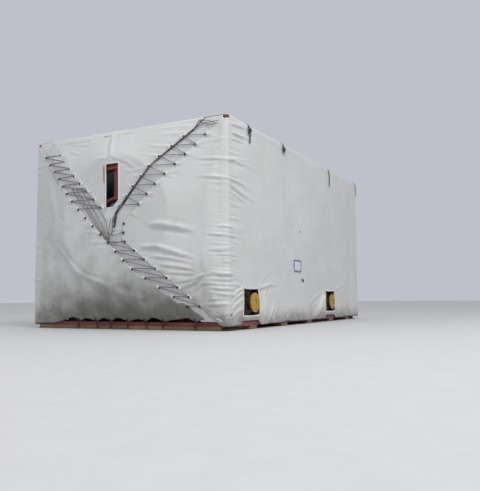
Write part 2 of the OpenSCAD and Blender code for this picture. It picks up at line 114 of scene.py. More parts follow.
def times(a, b, clamp=False):
    return math_node("MULTIPLY", a, b, clamp)


def plus(a, b, clamp=False):
    return math_node("ADD", a, b, clamp)


def mix_colour(share, a, b):
    return node("Mix", {0: share, 6: a, 7: b}, data_type="RGBA").outputs[2]


def ramp(value, low, high, to_low=0.0, to_high=1.0):
    """Value carried smoothly from one range to another."""
    inputs = {0: value, 1: low, 2: high, 3: to_low, 4: to_high}
    return node("MapRange", inputs, interpolation_type="SMOOTHSTEP").outputs[0]


def colour(*chart):
    """A colour as a paint chart gives it, 0 to 255, in the linear values that Blender mixes."""
    shares = [c / 255 for c in chart]
    return (*[c / 12.92 if c <= 0.04045 else ((c + 0.055) / 1.055) ** 2.4 for c in shares], 1.0)


BACKDROP = colour(190, 192, 202)
print("backdrop", [round(c, 3) for c in BACKDROP])

# %% World
scene = bpy.context.scene
scene.view_settings.view_transform = "Standard"
world = bpy.data.worlds.new("overcast")
scene.world = world
world.use_nodes = True
work_on(world.node_tree)
height = node("SeparateXYZ", {0: node("TexCoord").outputs["Generated"]}).outputs["Z"]
overcast = mix_colour(ramp(height, -0.1, 0.9), colour(176, 177, 182), colour(246, 247, 250))
ray = node("LightPath").outputs
seen = math_node("MAXIMUM", ray["Is Camera Ray"], ray["Is Glossy Ray"])
seen = math_node("MAXIMUM", seen, ray["Is Transmission Ray"])
lit = node("Background", {"Color": overcast, "Strength": 0.86})
plain = node("Background", {"Color": BACKDROP, "Strength": 1.0})
both = node("MixShader", {0: seen, 1: lit.outputs[0], 2: plain.outputs[0]})
node("OutputWorld", {"Surface": both.outputs[0]})
print("world", world.name, "with", len(world.node_tree.nodes), "nodes")

# %% Camera and lamp
camera_data = bpy.data.cameras.new("camera")
camera_data.lens = 44.87
camera_data.sensor_width = 36
camera_data.clip_end = 500
camera = bpy.data.objects.new("camera", camera_data)
scene.collection.objects.link(camera)
scene.camera = camera
yaw, pitch, roll = math.radians(27.28), math.radians(5.08), math.radians(-0.39)
ahead = Vector((math.cos(yaw) * math.cos(pitch), math.sin(yaw) * math.cos(pitch), math.sin(pitch)))
right = Vector((math.sin(yaw), -math.cos(yaw), 0))
up = right.cross(ahead)
right, up = right * math.cos(roll) + up * math.sin(roll), up * math.cos(roll) - right * math.sin(roll)
turn = Matrix((right, up, -ahead)).transposed()
camera.matrix_world = Matrix.Translation((-18.931, -10.491, 0.771)) @ turn.to_4x4()
lamp_data = bpy.data.lights.new("bright_cloud", "AREA")
lamp_data.shape, lamp_data.size, lamp_data.energy = "SQUARE", 13, 3200
lamp = bpy.data.objects.new("bright_cloud", lamp_data)
lamp.location = (-14.7, -15.3, 20.7)
lamp.rotation_euler = (Vector((-3, -1, 2.5)) - lamp.location).to_track_quat("-Z", "Y").to_euler()
scene.collection.objects.link(lamp)
print("camera at", [round(v, 2) for v in camera.matrix_world.translation])

# %% [markdown]
# ## Effects that several finishes share
# Dust, worn edges and wrinkles come back in many materials, so each is a node group built once. A group
# gives only masks and heights. The shader itself stays in each material, where its own values can be seen.

# %% Group builder
def new_group(name, inputs, outputs):
    """Starts a shader group with float sockets. Gives the group, its inputs' sockets and its output node."""
    made = bpy.data.node_groups.new(name, "ShaderNodeTree")
    work_on(made)
    for title, value in inputs.items():
        made.interface.new_socket(title, in_out="INPUT", socket_type="NodeSocketFloat").default_value = value
    for title in outputs:
        made.interface.new_socket(title, in_out="OUTPUT", socket_type="NodeSocketFloat")
    return made, made.nodes.new("NodeGroupInput").outputs, made.nodes.new("NodeGroupOutput")


def use_group(group, **inputs):
    made = TREE.nodes.new("ShaderNodeGroup")
    made.node_tree = group
    fill(made, inputs)
    return made.outputs


def places(stretch=(1, 1, 1)):
    """Points of the object in metres, stretched along its axes."""
    return node("Mapping", {"Vector": node("TexCoord").outputs["Object"], "Scale": stretch}).outputs[0]


def noise(scale, detail=4.0, rough=0.55, bend=0.0, stretch=(1, 1, 1)):
    inputs = {"Vector": places(stretch), "Scale": scale, "Detail": detail, "Roughness": rough,
              "Distortion": bend}
    return node("TexNoise", inputs).outputs[0]

# %% Worn edges
edge_wear, entry, leave = new_group("edge_wear", {"Width": 0.01, "Amount": 0.5}, ["Mask"])
rounded = node("Bevel", {"Radius": entry["Width"]}, samples=6).outputs[0]
level = node("NewGeometry").outputs["Normal"]
facing = node("VectorMath", {0: rounded, 1: level}, operation="DOT_PRODUCT").outputs["Value"]
edge = times(ramp(facing, 0.995, 0.90), ramp(noise(14.0, 6.0, 0.65), 0.42, 0.6))
fill(leave, {"Mask": times(edge, entry["Amount"], True)})

# %% Dust that gathers on flat and low places
dust, entry, leave = new_group("dust", {"Amount": 0.5, "Top": 1.2}, ["Mask"])
level = node("SeparateXYZ", {0: places()}).outputs["Z"]
low = node("MapRange", {0: level, 1: 0.0, 2: entry["Top"], 3: 1.0, 4: 0.25}).outputs[0]
up_face = node("SeparateXYZ", {0: node("NewGeometry").outputs["Normal"]}).outputs["Z"]
mask = times(times(low, ramp(up_face, 0.2, 1.0, 0.35, 1.0)), ramp(noise(3.0, 8.0, 0.6), 0.35, 0.7))
fill(leave, {"Mask": times(mask, entry["Amount"], True)})

# %% Rust spots and runs
rust, entry, leave = new_group("rust", {"Amount": 0.5, "Scale": 5.0}, ["Mask", "Height"])
runs = noise(1.6, 3.0, stretch=(9, 9, 0.7))
spots = plus(noise(entry["Scale"], 9.0, 0.68, 0.4), times(runs, 0.22))
edge_at = math_node("SUBTRACT", 0.86, times(entry["Amount"], 0.3))
mask = node("MapRange", {0: spots, 1: edge_at, 2: plus(edge_at, 0.07)}).outputs[0]
fill(leave, {"Mask": mask, "Height": times(mask, spots)})

# %% Crinkles of a coated cloth that has been folded and drawn tight
crinkle, entry, leave = new_group("crinkle", {"Size": 1.0, "Level": 0.5}, ["Height"])
soft = noise(math_node("DIVIDE", 1.3, entry["Size"]), 3.0, 0.5, 0.6)
cells = {"Vector": places((1, 1, 1.5)), "Scale": math_node("DIVIDE", 2.6, entry["Size"]), "Randomness": 1.0}
crease_at = node("TexVoronoi", cells, feature="DISTANCE_TO_EDGE").outputs["Distance"]
crease = times(ramp(crease_at, 0.0, 0.12), 0.05)
drawn = noise(math_node("DIVIDE", 1.0, entry["Size"]), 2.0, 0.4, stretch=(1.2, 1.2, 13))
drawn = times(times(drawn, entry["Level"]), 1.2)
fill(leave, {"Height": plus(plus(soft, crease), drawn)})

# %% Woven threads under a coating
weave, entry, leave = new_group("weave", {"Count": 260.0}, ["Height"])
threads = []
for axis in "XYZ":
    wave = {"Vector": places(), "Scale": entry["Count"], "Distortion": 0.4, "Detail": 1.0,
            "Detail Scale": 2.0}
    threads.append(node("TexWave", wave, bands_direction=axis).outputs["Fac"])
fill(leave, {"Height": times(plus(plus(threads[0], threads[1]), threads[2]), 0.33)})
print("groups", [g.name for g in bpy.data.node_groups])

# %% [markdown]
# ## Finishes
# Every finish starts from one plain colour and then gets what time does to it: grime and painted shade at
# the foot of the cloth, scuffed primer, chipped yellow enamel with painted shade deep in the windows, grey
# timber. Each mask drives colour, roughness and relief together, because a worn place changes all three.

# %% Material builder
def finish_of(name, build, *facts):
    """A material. Build gives its colour, roughness, height, its depth in metres and perhaps metal."""
    made = bpy.data.materials.new(name)
    made.use_nodes = True
    work_on(made.node_tree)
    base, rough, height, depth, *metal = build(*facts)
    relief = node("Bump", {"Height": height, "Distance": depth, "Strength": 1.0})
    inputs = {"Base Color": base, "Roughness": rough, "Normal": relief.outputs[0]}
    if metal:
        inputs["Metallic"] = metal[0]
    node("OutputMaterial", {"Surface": node("BsdfPrincipled", inputs).outputs[0]})
    return made


def stained(base, by, low, high, over, least=0.0, most=1.0):
    """A colour with another laid over it where a value is high."""
    return mix_colour(ramp(by, low, high, least, most), base, colour(*over))


def cover_cloth():
    grime_and_shade, pleat = (node("Attribute", attribute_name=name).outputs["Fac"] for name in ("grime_and_shade", "pleat"))
    cloudy = noise(0.7, 6.0, 0.6)
    base = stained(colour(214, 214, 213), cloudy, 0.3, 0.7, (207, 207, 205))
    runs = noise(1.5, 5.0, 0.6, stretch=(3.2, 3.2, 0.35))
    base = stained(base, runs, 0.56, 0.85, (176, 172, 163), 0.0, 0.12)
    patch = node("MapRange", {0: noise(1.8, 7.0, 0.62), 1: 0.0, 2: 1.0, 3: 0.22, 4: 0.78}).outputs[0]
    # Grime in blotches, and painted shade that darkens the cloth towards the foot of the end and of the sides.
    grime_and_shade_share = ramp(plus(patch, times(grime_and_shade, 0.62)), 0.52, 1.12, 0.0, 0.93)
    base = mix_colour(grime_and_shade_share, base, colour(96, 96, 88))
    height = times(use_group(crinkle, Size=1.0, Level=0.06)["Height"], 0.6)
    height = plus(height, times(noise(1.25, 2.0, 0.45, 0.35, (0.8, 0.8, 15)), pleat))
    height = plus(height, times(use_group(weave)["Height"], 0.004))
    return base, plus(ramp(cloudy, 0.2, 0.8, 0.44, 0.6), times(grime_and_shade_share, 0.25), True), height, 0.022


def plain_cloth(tint, dark):
    cloudy = noise(2.1, 6.0, 0.6)
    height = plus(use_group(crinkle, Size=0.5, Level=0.3)["Height"], times(use_group(weave)["Height"], 0.01))
    return stained(colour(*tint), cloudy, 0.3, 0.72, dark), ramp(cloudy, 0.2, 0.8, 0.5, 0.7), height, 0.012


def rope_fibre(light, dark):
    hairs = noise(190.0, 4.0, 0.7)
    base = stained(colour(*dark), hairs, 0.3, 0.7, light)
    base = stained(base, noise(5.0, 5.0, 0.6), 0.5, 0.8, (118, 112, 102), 0.0, 0.5)
    return base, ramp(hairs, 0.2, 0.8, 0.7, 0.95), hairs, 0.002


def webbing_strap():
    ribs, cross = (
        node("TexWave", {"Vector": places(), "Scale": scale, "Distortion": 0.3}, bands_direction=axis)
        for scale, axis in ((34.0, "Y"), (60.0, "Z")))
    threads = plus(ribs.outputs["Fac"], cross.outputs["Fac"])
    worn = noise(6.0, 6.0, 0.65)
    base = stained(colour(44, 48, 50), threads, 0.4, 1.6, (74, 80, 82))
    base = stained(base, worn, 0.5, 0.85, (128, 124, 114), 0.0, 0.45)
    return base, ramp(worn, 0.3, 0.8, 0.65, 0.9), threads, 0.0015


EDGE_WIDTH = 0.012


def painted(paint, shade, wear, rusting, gloss, dusty=0.45, painted_shade_within=None):
    """Paint on steel: two tones of it, bare steel at worn edges, rust in the spots, dust over all.
    Painted_shade_within is the distance from the shaft within which a dark brown paints the shade deep in the
    windows."""
    tone = noise(1.4, 7.0, 0.62)
    base = stained(colour(*paint), tone, 0.3, 0.72, shade)
    # Painted shade: dark brown on the parts that lie deeper in than this.
    if painted_shade_within:
        away = math_node("ABSOLUTE", node("SeparateXYZ", {0: places()}).outputs["Y"])
        base = stained(base, plus(away, times(tone, 0.04)), painted_shade_within + 0.04, painted_shade_within, (66, 48, 34))
    rusted = use_group(rust, Amount=rusting)
    worn = use_group(edge_wear, Width=EDGE_WIDTH, Amount=wear)["Mask"]
    dusted = use_group(dust, Amount=dusty)["Mask"]
    for mask, over in ((rusted["Mask"], (98, 54, 32)), (worn, (150, 148, 144)), (dusted, (158, 148, 132))):
        base = mix_colour(mask, base, colour(*over))
    rough = plus(plus(gloss, times(rusted["Mask"], 0.35)), times(dusted, 0.4), True)
    height = plus(times(noise(85.0, 3.0), 0.25), times(rusted["Height"], 0.9))
    return base, rough, math_node("SUBTRACT", height, times(worn, 0.3)), 0.002, times(worn, 0.8)


def cast_metal():
    grain = noise(60.0, 6.0, 0.7)
    base = stained(colour(118, 120, 122), noise(1.1, 6.0, 0.6), 0.3, 0.7, (86, 88, 90))
    rusted = use_group(rust, Amount=0.35, Scale=3.0)
    base = mix_colour(rusted["Mask"], base, colour(112, 76, 52))
    base = mix_colour(use_group(edge_wear, Width=EDGE_WIDTH, Amount=0.5)["Mask"], base, colour(168, 168, 166))
    rough = plus(ramp(grain, 0.2, 0.8, 0.42, 0.62), times(rusted["Mask"], 0.3), True)
    metal = math_node("SUBTRACT", 0.85, times(rusted["Mask"], 0.7), True)
    return base, rough, plus(grain, rusted["Height"]), 0.002, metal


def sawn_timber():
    grown = {"Vector": places((9.0, 0.55, 9.0)), "Scale": 1.1, "Distortion": 7.0, "Detail": 4.0,
             "Detail Scale": 0.6}
    rings = node("TexWave", grown, wave_type="RINGS", rings_direction="Y").outputs["Fac"]
    fibre = noise(1.0, 5.0, 0.6, stretch=(60, 1.6, 60))
    checks = ramp(noise(1.0, 3.0, stretch=(30, 0.8, 30)), 0.66, 0.72)
    base = stained(colour(142, 112, 78), rings, 0.1, 0.9, (112, 84, 56))
    base = stained(base, fibre, 0.35, 0.7, (84, 64, 46), 0.0, 0.45)
    base = stained(base, noise(2.2, 6.0, 0.6), 0.4, 0.75, (118, 110, 98), 0.15, 0.75)
    base = mix_colour(checks, base, colour(44, 34, 26))
    height = math_node("SUBTRACT", plus(times(fibre, 0.5), times(rings, 0.3)), checks)
    return base, ramp(fibre, 0.2, 0.8, 0.7, 0.92), height, 0.004


def pouch_film(tint, rough):
    wavy, specks = noise(6.0, 4.0, 0.5, 0.5), noise(70.0, 4.0, 0.7)
    base = stained(colour(*tint), wavy, 0.3, 0.7, (232, 233, 240), 0.0, 0.35)
    base = stained(base, specks, 0.6, 0.8, (120, 118, 112), 0.0, 0.3)
    return base, ramp(specks, 0.3, 0.7, rough, rough + 0.2), wavy, 0.004


def pale_floor():
    cloudy = noise(3.0, 6.0, 0.55)
    base = stained(colour(203, 203, 204), cloudy, 0.3, 0.7, (200, 200, 201))
    return base, ramp(cloudy, 0.2, 0.8, 0.75, 0.85), cloudy, 0.003

# %% Materials
cloth = finish_of("cover_cloth", cover_cloth)
inner_cloth = finish_of("backing_cloth", plain_cloth, (208, 208, 210), (194, 194, 196))
# The binding is whiter than the cover; on the eyelet patches that whiteness is a painted highlight.
binding = finish_of("hem_binding", plain_cloth, (226, 226, 225), (212, 212, 210))
yellow_binding = finish_of("old_binding", plain_cloth, (196, 180, 104), (168, 150, 80))
# Near-black rope: the lashings and the hook are dark rope; on the lacing knots the near-black also paints the
# shade in the gaps at the eyelets.
dark_rope_and_shade = finish_of("knot_rope", rope_fibre, (70, 68, 66), (30, 30, 32))
line_rope = finish_of("lacing_rope", rope_fibre, (138, 136, 131), (84, 83, 81))
strap = finish_of("webbing", webbing_strap)
eyelet_metal = finish_of("eyelet_metal", painted, (62, 60, 58), (46, 45, 44), 0.5, 0.3, 0.4)
film = finish_of("pouch_film", pouch_film, (206, 208, 226), 0.22)
rim_blue = finish_of("pouch_rim", pouch_film, (74, 88, 142), 0.4)
slots = {
    "timber": finish_of("sawn_timber", sawn_timber),
    "red_primer": finish_of("red_primer", painted, (136, 60, 60), (112, 50, 50), 0.4, 0.3, 0.6),
    "saddle_steel": finish_of("saddle_paint", painted, (88, 62, 46), (62, 44, 34), 0.6, 0.5, 0.6),
    # The trunnions' last number is the depth within which they get painted shade in dark brown.
    "trunnion_paint": finish_of(
        "yellow_enamel", painted, (184, 146, 32), (158, 122, 28), 0.7, 0.42, 0.38, 0.5, 3.27),
    "machine_paint": finish_of(
        "machine_paint", painted, (146, 158, 180), (120, 132, 154), 0.5, 0.3, 0.45, 0.3),
    "casing_steel": finish_of("casing_steel", cast_metal),
}
dressed = 0
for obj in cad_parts.values():
    for place in obj.material_slots:
        finish = slots.get(place.material.name.split(".")[0]) if place.material else None
        if finish:
            place.material = finish
            dressed += 1
print("materials", len(bpy.data.materials), "CAD nodes dressed", dressed)

# %% [markdown]
# ## The form under the cloth
# The laced end is stretched over a round rim that stands out in front of the frame. From the rim the cloth
# falls in straight lines to the edges of the box, so the surface is a cone that turns into a flat disc.
# One upright ridge in the right flap holds it off the frame. The form is a function of a place on the end,
# and every flap, rope and eyelet asks the same function where it lies.

# %% How far the end stands out
def stand_out(y, z, out, radius, lowest=HEM_Z, highest=ROOF_Z):
    above = (z - SHAFT_Z) / np.where(z > SHAFT_Z, highest - SHAFT_Z, lowest - SHAFT_Z)
    edge_share = np.maximum(np.maximum(np.abs(y) / HALF_W, above), 1e-6)
    rim_share = np.maximum(np.hypot(y, z - SHAFT_Z) / radius, 1e-6)
    fall = (1 - 1 / rim_share) / np.maximum(1 / edge_share - 1 / rim_share, 1e-6)
    return np.where(rim_share <= 1, out, np.where(edge_share >= 1, 0, out * (1 - np.clip(fall, 0, 1))))


RIDGE_Y, RIDGE_Z, RIDGE_REACH, RIDGE_W, RIDGE_SHARE = -2.64, 2.29, 0.79, 1.3, 0.55


def ridge_out(y, z):
    low, high = RIDGE_Z - RIDGE_REACH, RIDGE_Z + RIDGE_REACH
    across = np.where(y < RIDGE_Y, (y + HALF_W) / (RIDGE_Y + HALF_W), 1 - (y - RIDGE_Y) / RIDGE_W)
    along = np.where(z > high, (ROOF_Z - z) / (ROOF_Z - high), 1)
    along = np.where(z < low, (z - HEM_Z) / (low - HEM_Z), along)
    share = np.clip(np.minimum(across, along), 0, 1)
    blunt = 0.35
    share = share - np.clip(share - 1 + blunt, 0, None) ** 2 / (2 * blunt)
    return BULGE * RIDGE_SHARE * share


def end_out(y, z):
    """The larger of the cone and the ridge, blended softly where they meet."""
    cone, ridge = stand_out(y, z, BULGE, RIM_R), ridge_out(y, z)
    blend = 0.04 * np.clip((cone + ridge) / 0.2, 0, 1)
    return (cone + ridge + np.sqrt((cone - ridge) ** 2 + blend ** 2)) / 2


print("the end stands out", round(float(end_out(np.array([0.0]), np.array([3.0]))[0]), 3))

# %% [markdown]
# ## Flat cloth, then round the box
# A cover is cut flat. So each piece is drawn here as a flat outline in two lengths: u runs round the box,
# 0 at its corner, below 0 over the laced end and above 0 along the side, and z runs up and then over the
# edge of the roof. The outline is filled with evenly spaced points and joined into triangles, which lets
# windows, notches and slanted laced edges be cut where they are. Then the points are carried round the box.

# %% Carry flat cloth round the box
def carried(u, z, side):
    """The place of a point of flat cloth on the sharp-edged box. Side is -1 or 1."""
    over = np.maximum(z - ROOF_Z, 0)
    z = np.minimum(z, ROOF_Z)
    past = np.maximum(u - 2 * HALF_L, 0)
    along = np.clip(u, 0, 2 * HALF_L)
    y = side * (HALF_W + np.minimum(u, 0) - past)
    on_end = u < 0
    x = -HALF_L + along - np.where(on_end, end_out(y, z) + CLEAR, 0) + np.where(past > 0, CLEAR, 0)
    y = y + np.where(on_end | (past > 0), 0, side * CLEAR)
    x = x + np.where(on_end, over, np.where(past > 0, -over, 0))
    y = y - side * np.where(on_end | (past > 0), 0, over)
    return np.stack([x, y, z + np.where(over > 0, CLEAR, 0)], -1)


ROUND = 0.042
SPREAD = np.linspace(-1, 1, 5)


def rounded_place(u, z, side):
    """The same place with the box's edges rounded, as the mean of the places around it."""
    total = 0
    for du in SPREAD:
        for dz in SPREAD:
            total = total + carried(u + du * ROUND, z + dz * ROUND, side)
    return total / len(SPREAD) ** 2


def unit(vectors):
    return vectors / np.maximum(np.linalg.norm(vectors, axis=-1, keepdims=True), 1e-9)


def surface(u, z, side):
    """Place and outward direction of the cloth at flat points."""
    step = 0.02
    along = rounded_place(u + step, z, side) - rounded_place(u - step, z, side)
    upward = rounded_place(u, z + step, side) - rounded_place(u, z - step, side)
    return rounded_place(u, z, side), unit(np.cross(along, upward) * -side)

# %% Fill a flat outline with triangles
def crossings(points, loops):
    """True for the points that lie inside an odd number of closed loops."""
    inside = np.zeros(len(points), bool)
    x, y = points.T
    for loop in loops:
        for (x0, y0), (x1, y1) in zip(loop, np.roll(loop, -1, axis=0)):
            if y0 != y1:
                inside ^= ((y0 > y) != (y1 > y)) & (x < (x1 - x0) * (y - y0) / (y1 - y0) + x0)
    return inside


def spaced(loop, step):
    """A closed loop with points about a step apart, its corners kept."""
    loop = np.array(loop, float)
    found = []
    for a, b in zip(loop, np.roll(loop, -1, axis=0)):
        n = max(1, int(round(np.linalg.norm(b - a) / step)))
        found.extend(a + (b - a) * i / n for i in range(n))
    return np.array(found)


def lattice(low, high, step):
    """Points a step apart, in rows that are shifted by half a step as in a net of triangles."""
    found = []
    for i, v in enumerate(np.arange(low[1], high[1], step * math.sqrt(3) / 2)):
        row = np.arange(low[0] + (i % 2) * step / 2, high[0], step)
        found.append(np.stack([row, np.full(len(row), v)], -1))
    return np.concatenate(found)


def near_edges(points, loops, reach):
    """True for the points nearer than reach to a loop."""
    marks = np.concatenate([spaced(loop, reach * 0.7) for loop in loops])
    tree = KDTree(len(marks))
    for i, mark in enumerate(marks):
        tree.insert((mark[0], mark[1], 0), i)
    tree.balance()
    return np.array([tree.find((p[0], p[1], 0))[2] < reach for p in points])


def cut_cloth(outline, fine, holes=(), coarse=None, is_fine=None):
    """Flat points and triangles of a piece of cloth, closer together where is_fine says so."""
    loops = [spaced(outline, (coarse or fine) * 0.8)] + [spaced(hole, fine) for hole in holes]
    low, high = loops[0].min(0), loops[0].max(0)
    kept = []
    for step, wanted in ((fine, True), (coarse, False)):
        if step:
            points = lattice(low, high, step)
            if is_fine:
                points = points[is_fine(*points.T) == wanted]
            points = points[crossings(points, loops)]
            kept.append(points[~near_edges(points, loops, step * 0.55)])
    verts = np.concatenate(loops + kept)
    edges, start = [], 0
    for loop in loops:
        n = len(loop)
        edges.extend((start + i, start + (i + 1) % n) for i in range(n))
        start += n
    made = delaunay_2d_cdt([Vector(p) for p in verts], edges, [], 0, 1e-6, False)
    verts = np.array([tuple(p) for p in made[0]])
    triangles = np.array([f for f in made[2] if len(f) == 3])
    triangles = triangles[crossings(verts[triangles].mean(1), loops)]
    used, again = np.unique(triangles, return_inverse=True)
    return verts[used], again.reshape(-1, 3)


def flat_area(points, triangles):
    a, b, c = (points[triangles[:, i]] for i in range(3))
    (bx, by), (cx, cy) = (b - a).T, (c - a).T
    return float(np.abs(bx * cy - by * cx).sum() / 2)

# %% [markdown]
# ## Folds
# Stretched cloth shows three kinds of relief: long folds that run where the pull goes, small puckers at each
# eyelet, and a slow unevenness over the whole. Each fold here is a path on the flat cloth with a width and a
# height. It rises on one side and dips on the other, which is what catches the light.

# %% Relief of the cloth
def smooth_noise(u, z, size, seed):
    """Slow unevenness from -1 to 1, about size metres from crest to crest."""
    table = np.random.RandomState(seed).uniform(-1, 1, (64, 64))
    a, b = u / size + 31.7, z / size + 17.3
    i, j = np.floor(a).astype(int), np.floor(b).astype(int)
    s, t = a - i, b - j
    s, t = s * s * (3 - 2 * s), t * t * (3 - 2 * t)
    rows = [table[i % 64, k % 64] * (1 - s) + table[(i + 1) % 64, k % 64] * s for k in (j, j + 1)]
    return rows[0] * (1 - t) + rows[1] * t


def fold(u, z, path, width, height, start=0.25, end=0.5, dip=0.6):
    """Height of one fold. Start and end are the shares of its length over which it grows and fades."""
    path = np.array(path, float)
    lengths = np.linalg.norm(np.diff(path, axis=0), axis=1)
    reach = 4 * width
    low, high = path.min(0) - reach, path.max(0) + reach
    near = np.where((u > low[0]) & (u < high[0]) & (z > low[1]) & (z < high[1]))[0]
    relief = np.zeros_like(u)
    if not len(near):
        return relief
    p, q = u[near], z[near]
    best, off, share, run = np.full(len(near), 1e9), np.zeros(len(near)), np.zeros(len(near)), 0.0
    for a, b, length in zip(path[:-1], path[1:], lengths):
        d = (b - a) / length
        t = np.clip((p - a[0]) * d[0] + (q - a[1]) * d[1], 0, length)
        away = np.hypot(p - a[0] - t * d[0], q - a[1] - t * d[1])
        cross = (q - a[1]) * d[0] - (p - a[0]) * d[1]
        nearer = away < best
        best = np.where(nearer, away, best)
        off = np.where(nearer, np.sign(cross) * away, off)
        share = np.where(nearer, (run + t) / lengths.sum(), share)
        run += length
    grown = np.clip(share / max(start, 1e-6), 0, 1) * np.clip((1 - share) / max(end, 1e-6), 0, 1)
    grown = grown * grown * (3 - 2 * grown)
    crest = np.exp(-(off / width) ** 2) - dip * np.exp(-((off + 1.7 * width) / (1.1 * width)) ** 2)
    relief[near] = height * grown * crest
    return relief


def folds(u, z, listed):
    return sum((fold(u, z, *f) for f in listed), np.zeros_like(u))


def fold_table(text, side=0):
    """Folds from lines of flat places, then the width, height and shares that fold takes. Where a side is
    given, the places are on the end and start with y instead of u."""
    listed = []
    for line in text.strip().splitlines():
        path, shape = line.split("|")
        path = [tuple(map(float, place.split())) for place in path.split(",")]
        listed.append(([(u_of(a, side) if side else a, b) for a, b in path], *map(float, shape.split())))
    return listed

# %% Eyelet rows of the laced edges, as y and z on the end
LEFT_ROW = [(-2.80, 0.12), (-2.11, 0.65), (-0.56, 1.64), (0.21, 2.37), (1.30, 3.38), (2.90, 5.12),
            (3.14, 5.37)]
RIGHT_LOW_ROW = [(-3.09, 0.12), (-2.58, 0.57), (-1.55, 1.44), (-0.39, 2.33)]
RIGHT_HIGH_ROW = [(-0.36, 2.83), (-1.40, 3.81), (-2.91, 5.20), (-3.07, 5.36)]
TOP_LEFT_ROW = [(0.20, 2.46), (0.31, 3.19), (1.01, 3.86), (2.24, 5.03), (2.66, 5.50)]
TOP_RIGHT_ROW = [(0.10, 2.46), (-0.02, 3.10), (-0.68, 3.81), (-1.28, 4.40), (-2.25, 5.14), (-2.58, 5.50)]
INSET = 0.055


def row_y(row, z):
    row = sorted(row, key=lambda p: p[1])
    return np.interp(z, [p[1] for p in row], [p[0] for p in row])


def level_z(i):
    return HEM_Z + i * RISE


def scallop(z):
    """How far a laced edge lies beyond its eyelets: most at an eyelet, least between two."""
    return INSET - 0.018 + 0.018 * np.cos(2 * math.pi * (z - HEM_Z) / RISE)


def u_of(y, side):
    return side * y - HALF_W


random = np.random.RandomState(7)
uniform = random.uniform


def puckers(row, side, inward, low, high, length=0.42, height=0.012):
    """A fan of short folds from each eyelet of a row into the flap."""
    listed = []
    for i in range(low, high + 1):
        z = level_z(i)
        y = float(row_y(row, z))
        for spread in (-0.35, 0.1, 0.5):
            turn = spread + uniform(-0.15, 0.15)
            reach = length * uniform(0.6, 1.3)
            end = (y + inward * reach * math.cos(turn), z + reach * math.sin(turn) * uniform(0.5, 1.0))
            path = [(u_of(y, side), z), (u_of(end[0], side), end[1])]
            listed.append((path, uniform(0.026, 0.04), height * uniform(0.5, 1.2), 0.04, 0.9, 0.5))
    return listed


EDGE_STEP = 0.03


def laced_edge(row, side, way, first, last):
    """A flap's edge along a row of eyelets, from one height to another. Way is 1 or -1, the direction in y
    in which it lies beyond them."""
    zs = np.arange(first, last, math.copysign(EDGE_STEP, last - first))
    return [(float(u_of(row_y(row, z) + way * scallop(z), side)), float(z)) for z in zs]


print("eyelet rise", round(RISE, 4))

# %% [markdown]
# ## The cover's pieces
# The right piece runs from the lacing round the near corner, along the whole side and a hand's width round
# the far corner. The left piece is its mirror with its own laced edge. The top piece hangs from the roof into
# the V between them, with the inspection slot in it. A roof sheet lies over the upper edges of all three.

# %% Make a sheet
def mesh_piece(name, verts, faces, material, smooth=True):
    mesh = bpy.data.meshes.new(name)
    mesh.from_pydata([tuple(map(float, v)) for v in verts], [], [tuple(map(int, f)) for f in faces])
    mesh.validate()
    mesh.materials.append(material)
    if smooth:
        mesh.polygons.foreach_set("use_smooth", np.ones(len(mesh.polygons), bool))
    made = bpy.data.objects.new(name, mesh)
    scene.collection.objects.link(made)
    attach(made, "root")
    return made


LEAST = -0.003
FRAME_MARGIN = 0.16


def cloth_piece(name, verts, faces, grime_and_shade, pleat, *replaced, material=cloth):
    """A sheet with its thickness, the numbers at each point that its material reads, and what it stands for."""
    made = mesh_piece(name, verts, faces, material)
    for title, values in (("grime_and_shade", grime_and_shade), ("pleat", pleat)):
        values = np.array(np.broadcast_to(values, len(verts)), np.float32)
        made.data.attributes.new(title, "FLOAT", "POINT").data.foreach_set("value", values)
    wall = made.modifiers.new("thickness", "SOLIDIFY")
    wall.thickness, wall.offset = CLOTH_T, -1
    if replaced:
        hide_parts(*replaced)
    print(name, len(verts), "points", len(faces), "triangles")
    return made


def sheet_piece(name, flat, triangles, side, relief, grime_and_shade, pleat, *replaced, material=cloth, lift=0.0,
                least=LEAST):
    """A sheet from flat cloth. Near the frame's edges its relief is kept above least."""
    u, z = flat.T
    place, out = surface(u, z, side)
    corner = np.minimum(np.abs(u), np.abs(u - 2 * HALF_L))
    on_frame = (corner < FRAME_MARGIN) | (z > ROOF_Z - FRAME_MARGIN)
    relief = np.where(on_frame, np.maximum(relief, least), relief)
    relief = np.where(z > ROOF_Z - 0.02, np.minimum(relief, 0.003), relief)
    verts = place + out * (relief + lift)[:, None]
    faces = triangles if side < 0 else triangles[:, ::-1]
    return cloth_piece(name, verts, faces, grime_and_shade, pleat, *replaced, material=material)


def smooth_step(x, low, high):
    t = np.clip((x - low) / (high - low), 0, 1)
    return t * t * (3 - 2 * t)


WINDOW_X = [1.25, 7.60]
NOTCH_RISE, NOTCH_FLAT, NOTCH_HALF = 0.105, 0.44, 0.56
CORNER_OPEN = 0.10
LAP = 0.25


def window_hole(x):
    """A trunnion window, pulled wider at its lower far corner."""
    return [(x - 0.44, 0.345), (x - 0.1, 0.335), (x + 0.25, 0.338), (x + 0.53, 0.35), (x + 0.55, 0.47),
            (x + 0.52, 0.75), (x + 0.47, 1.0), (x + 0.45, 1.085), (x + 0.2, 1.075), (x - 0.15, 1.072),
            (x - 0.45, 1.085), (x - 0.43, 0.85), (x - 0.42, 0.55)]


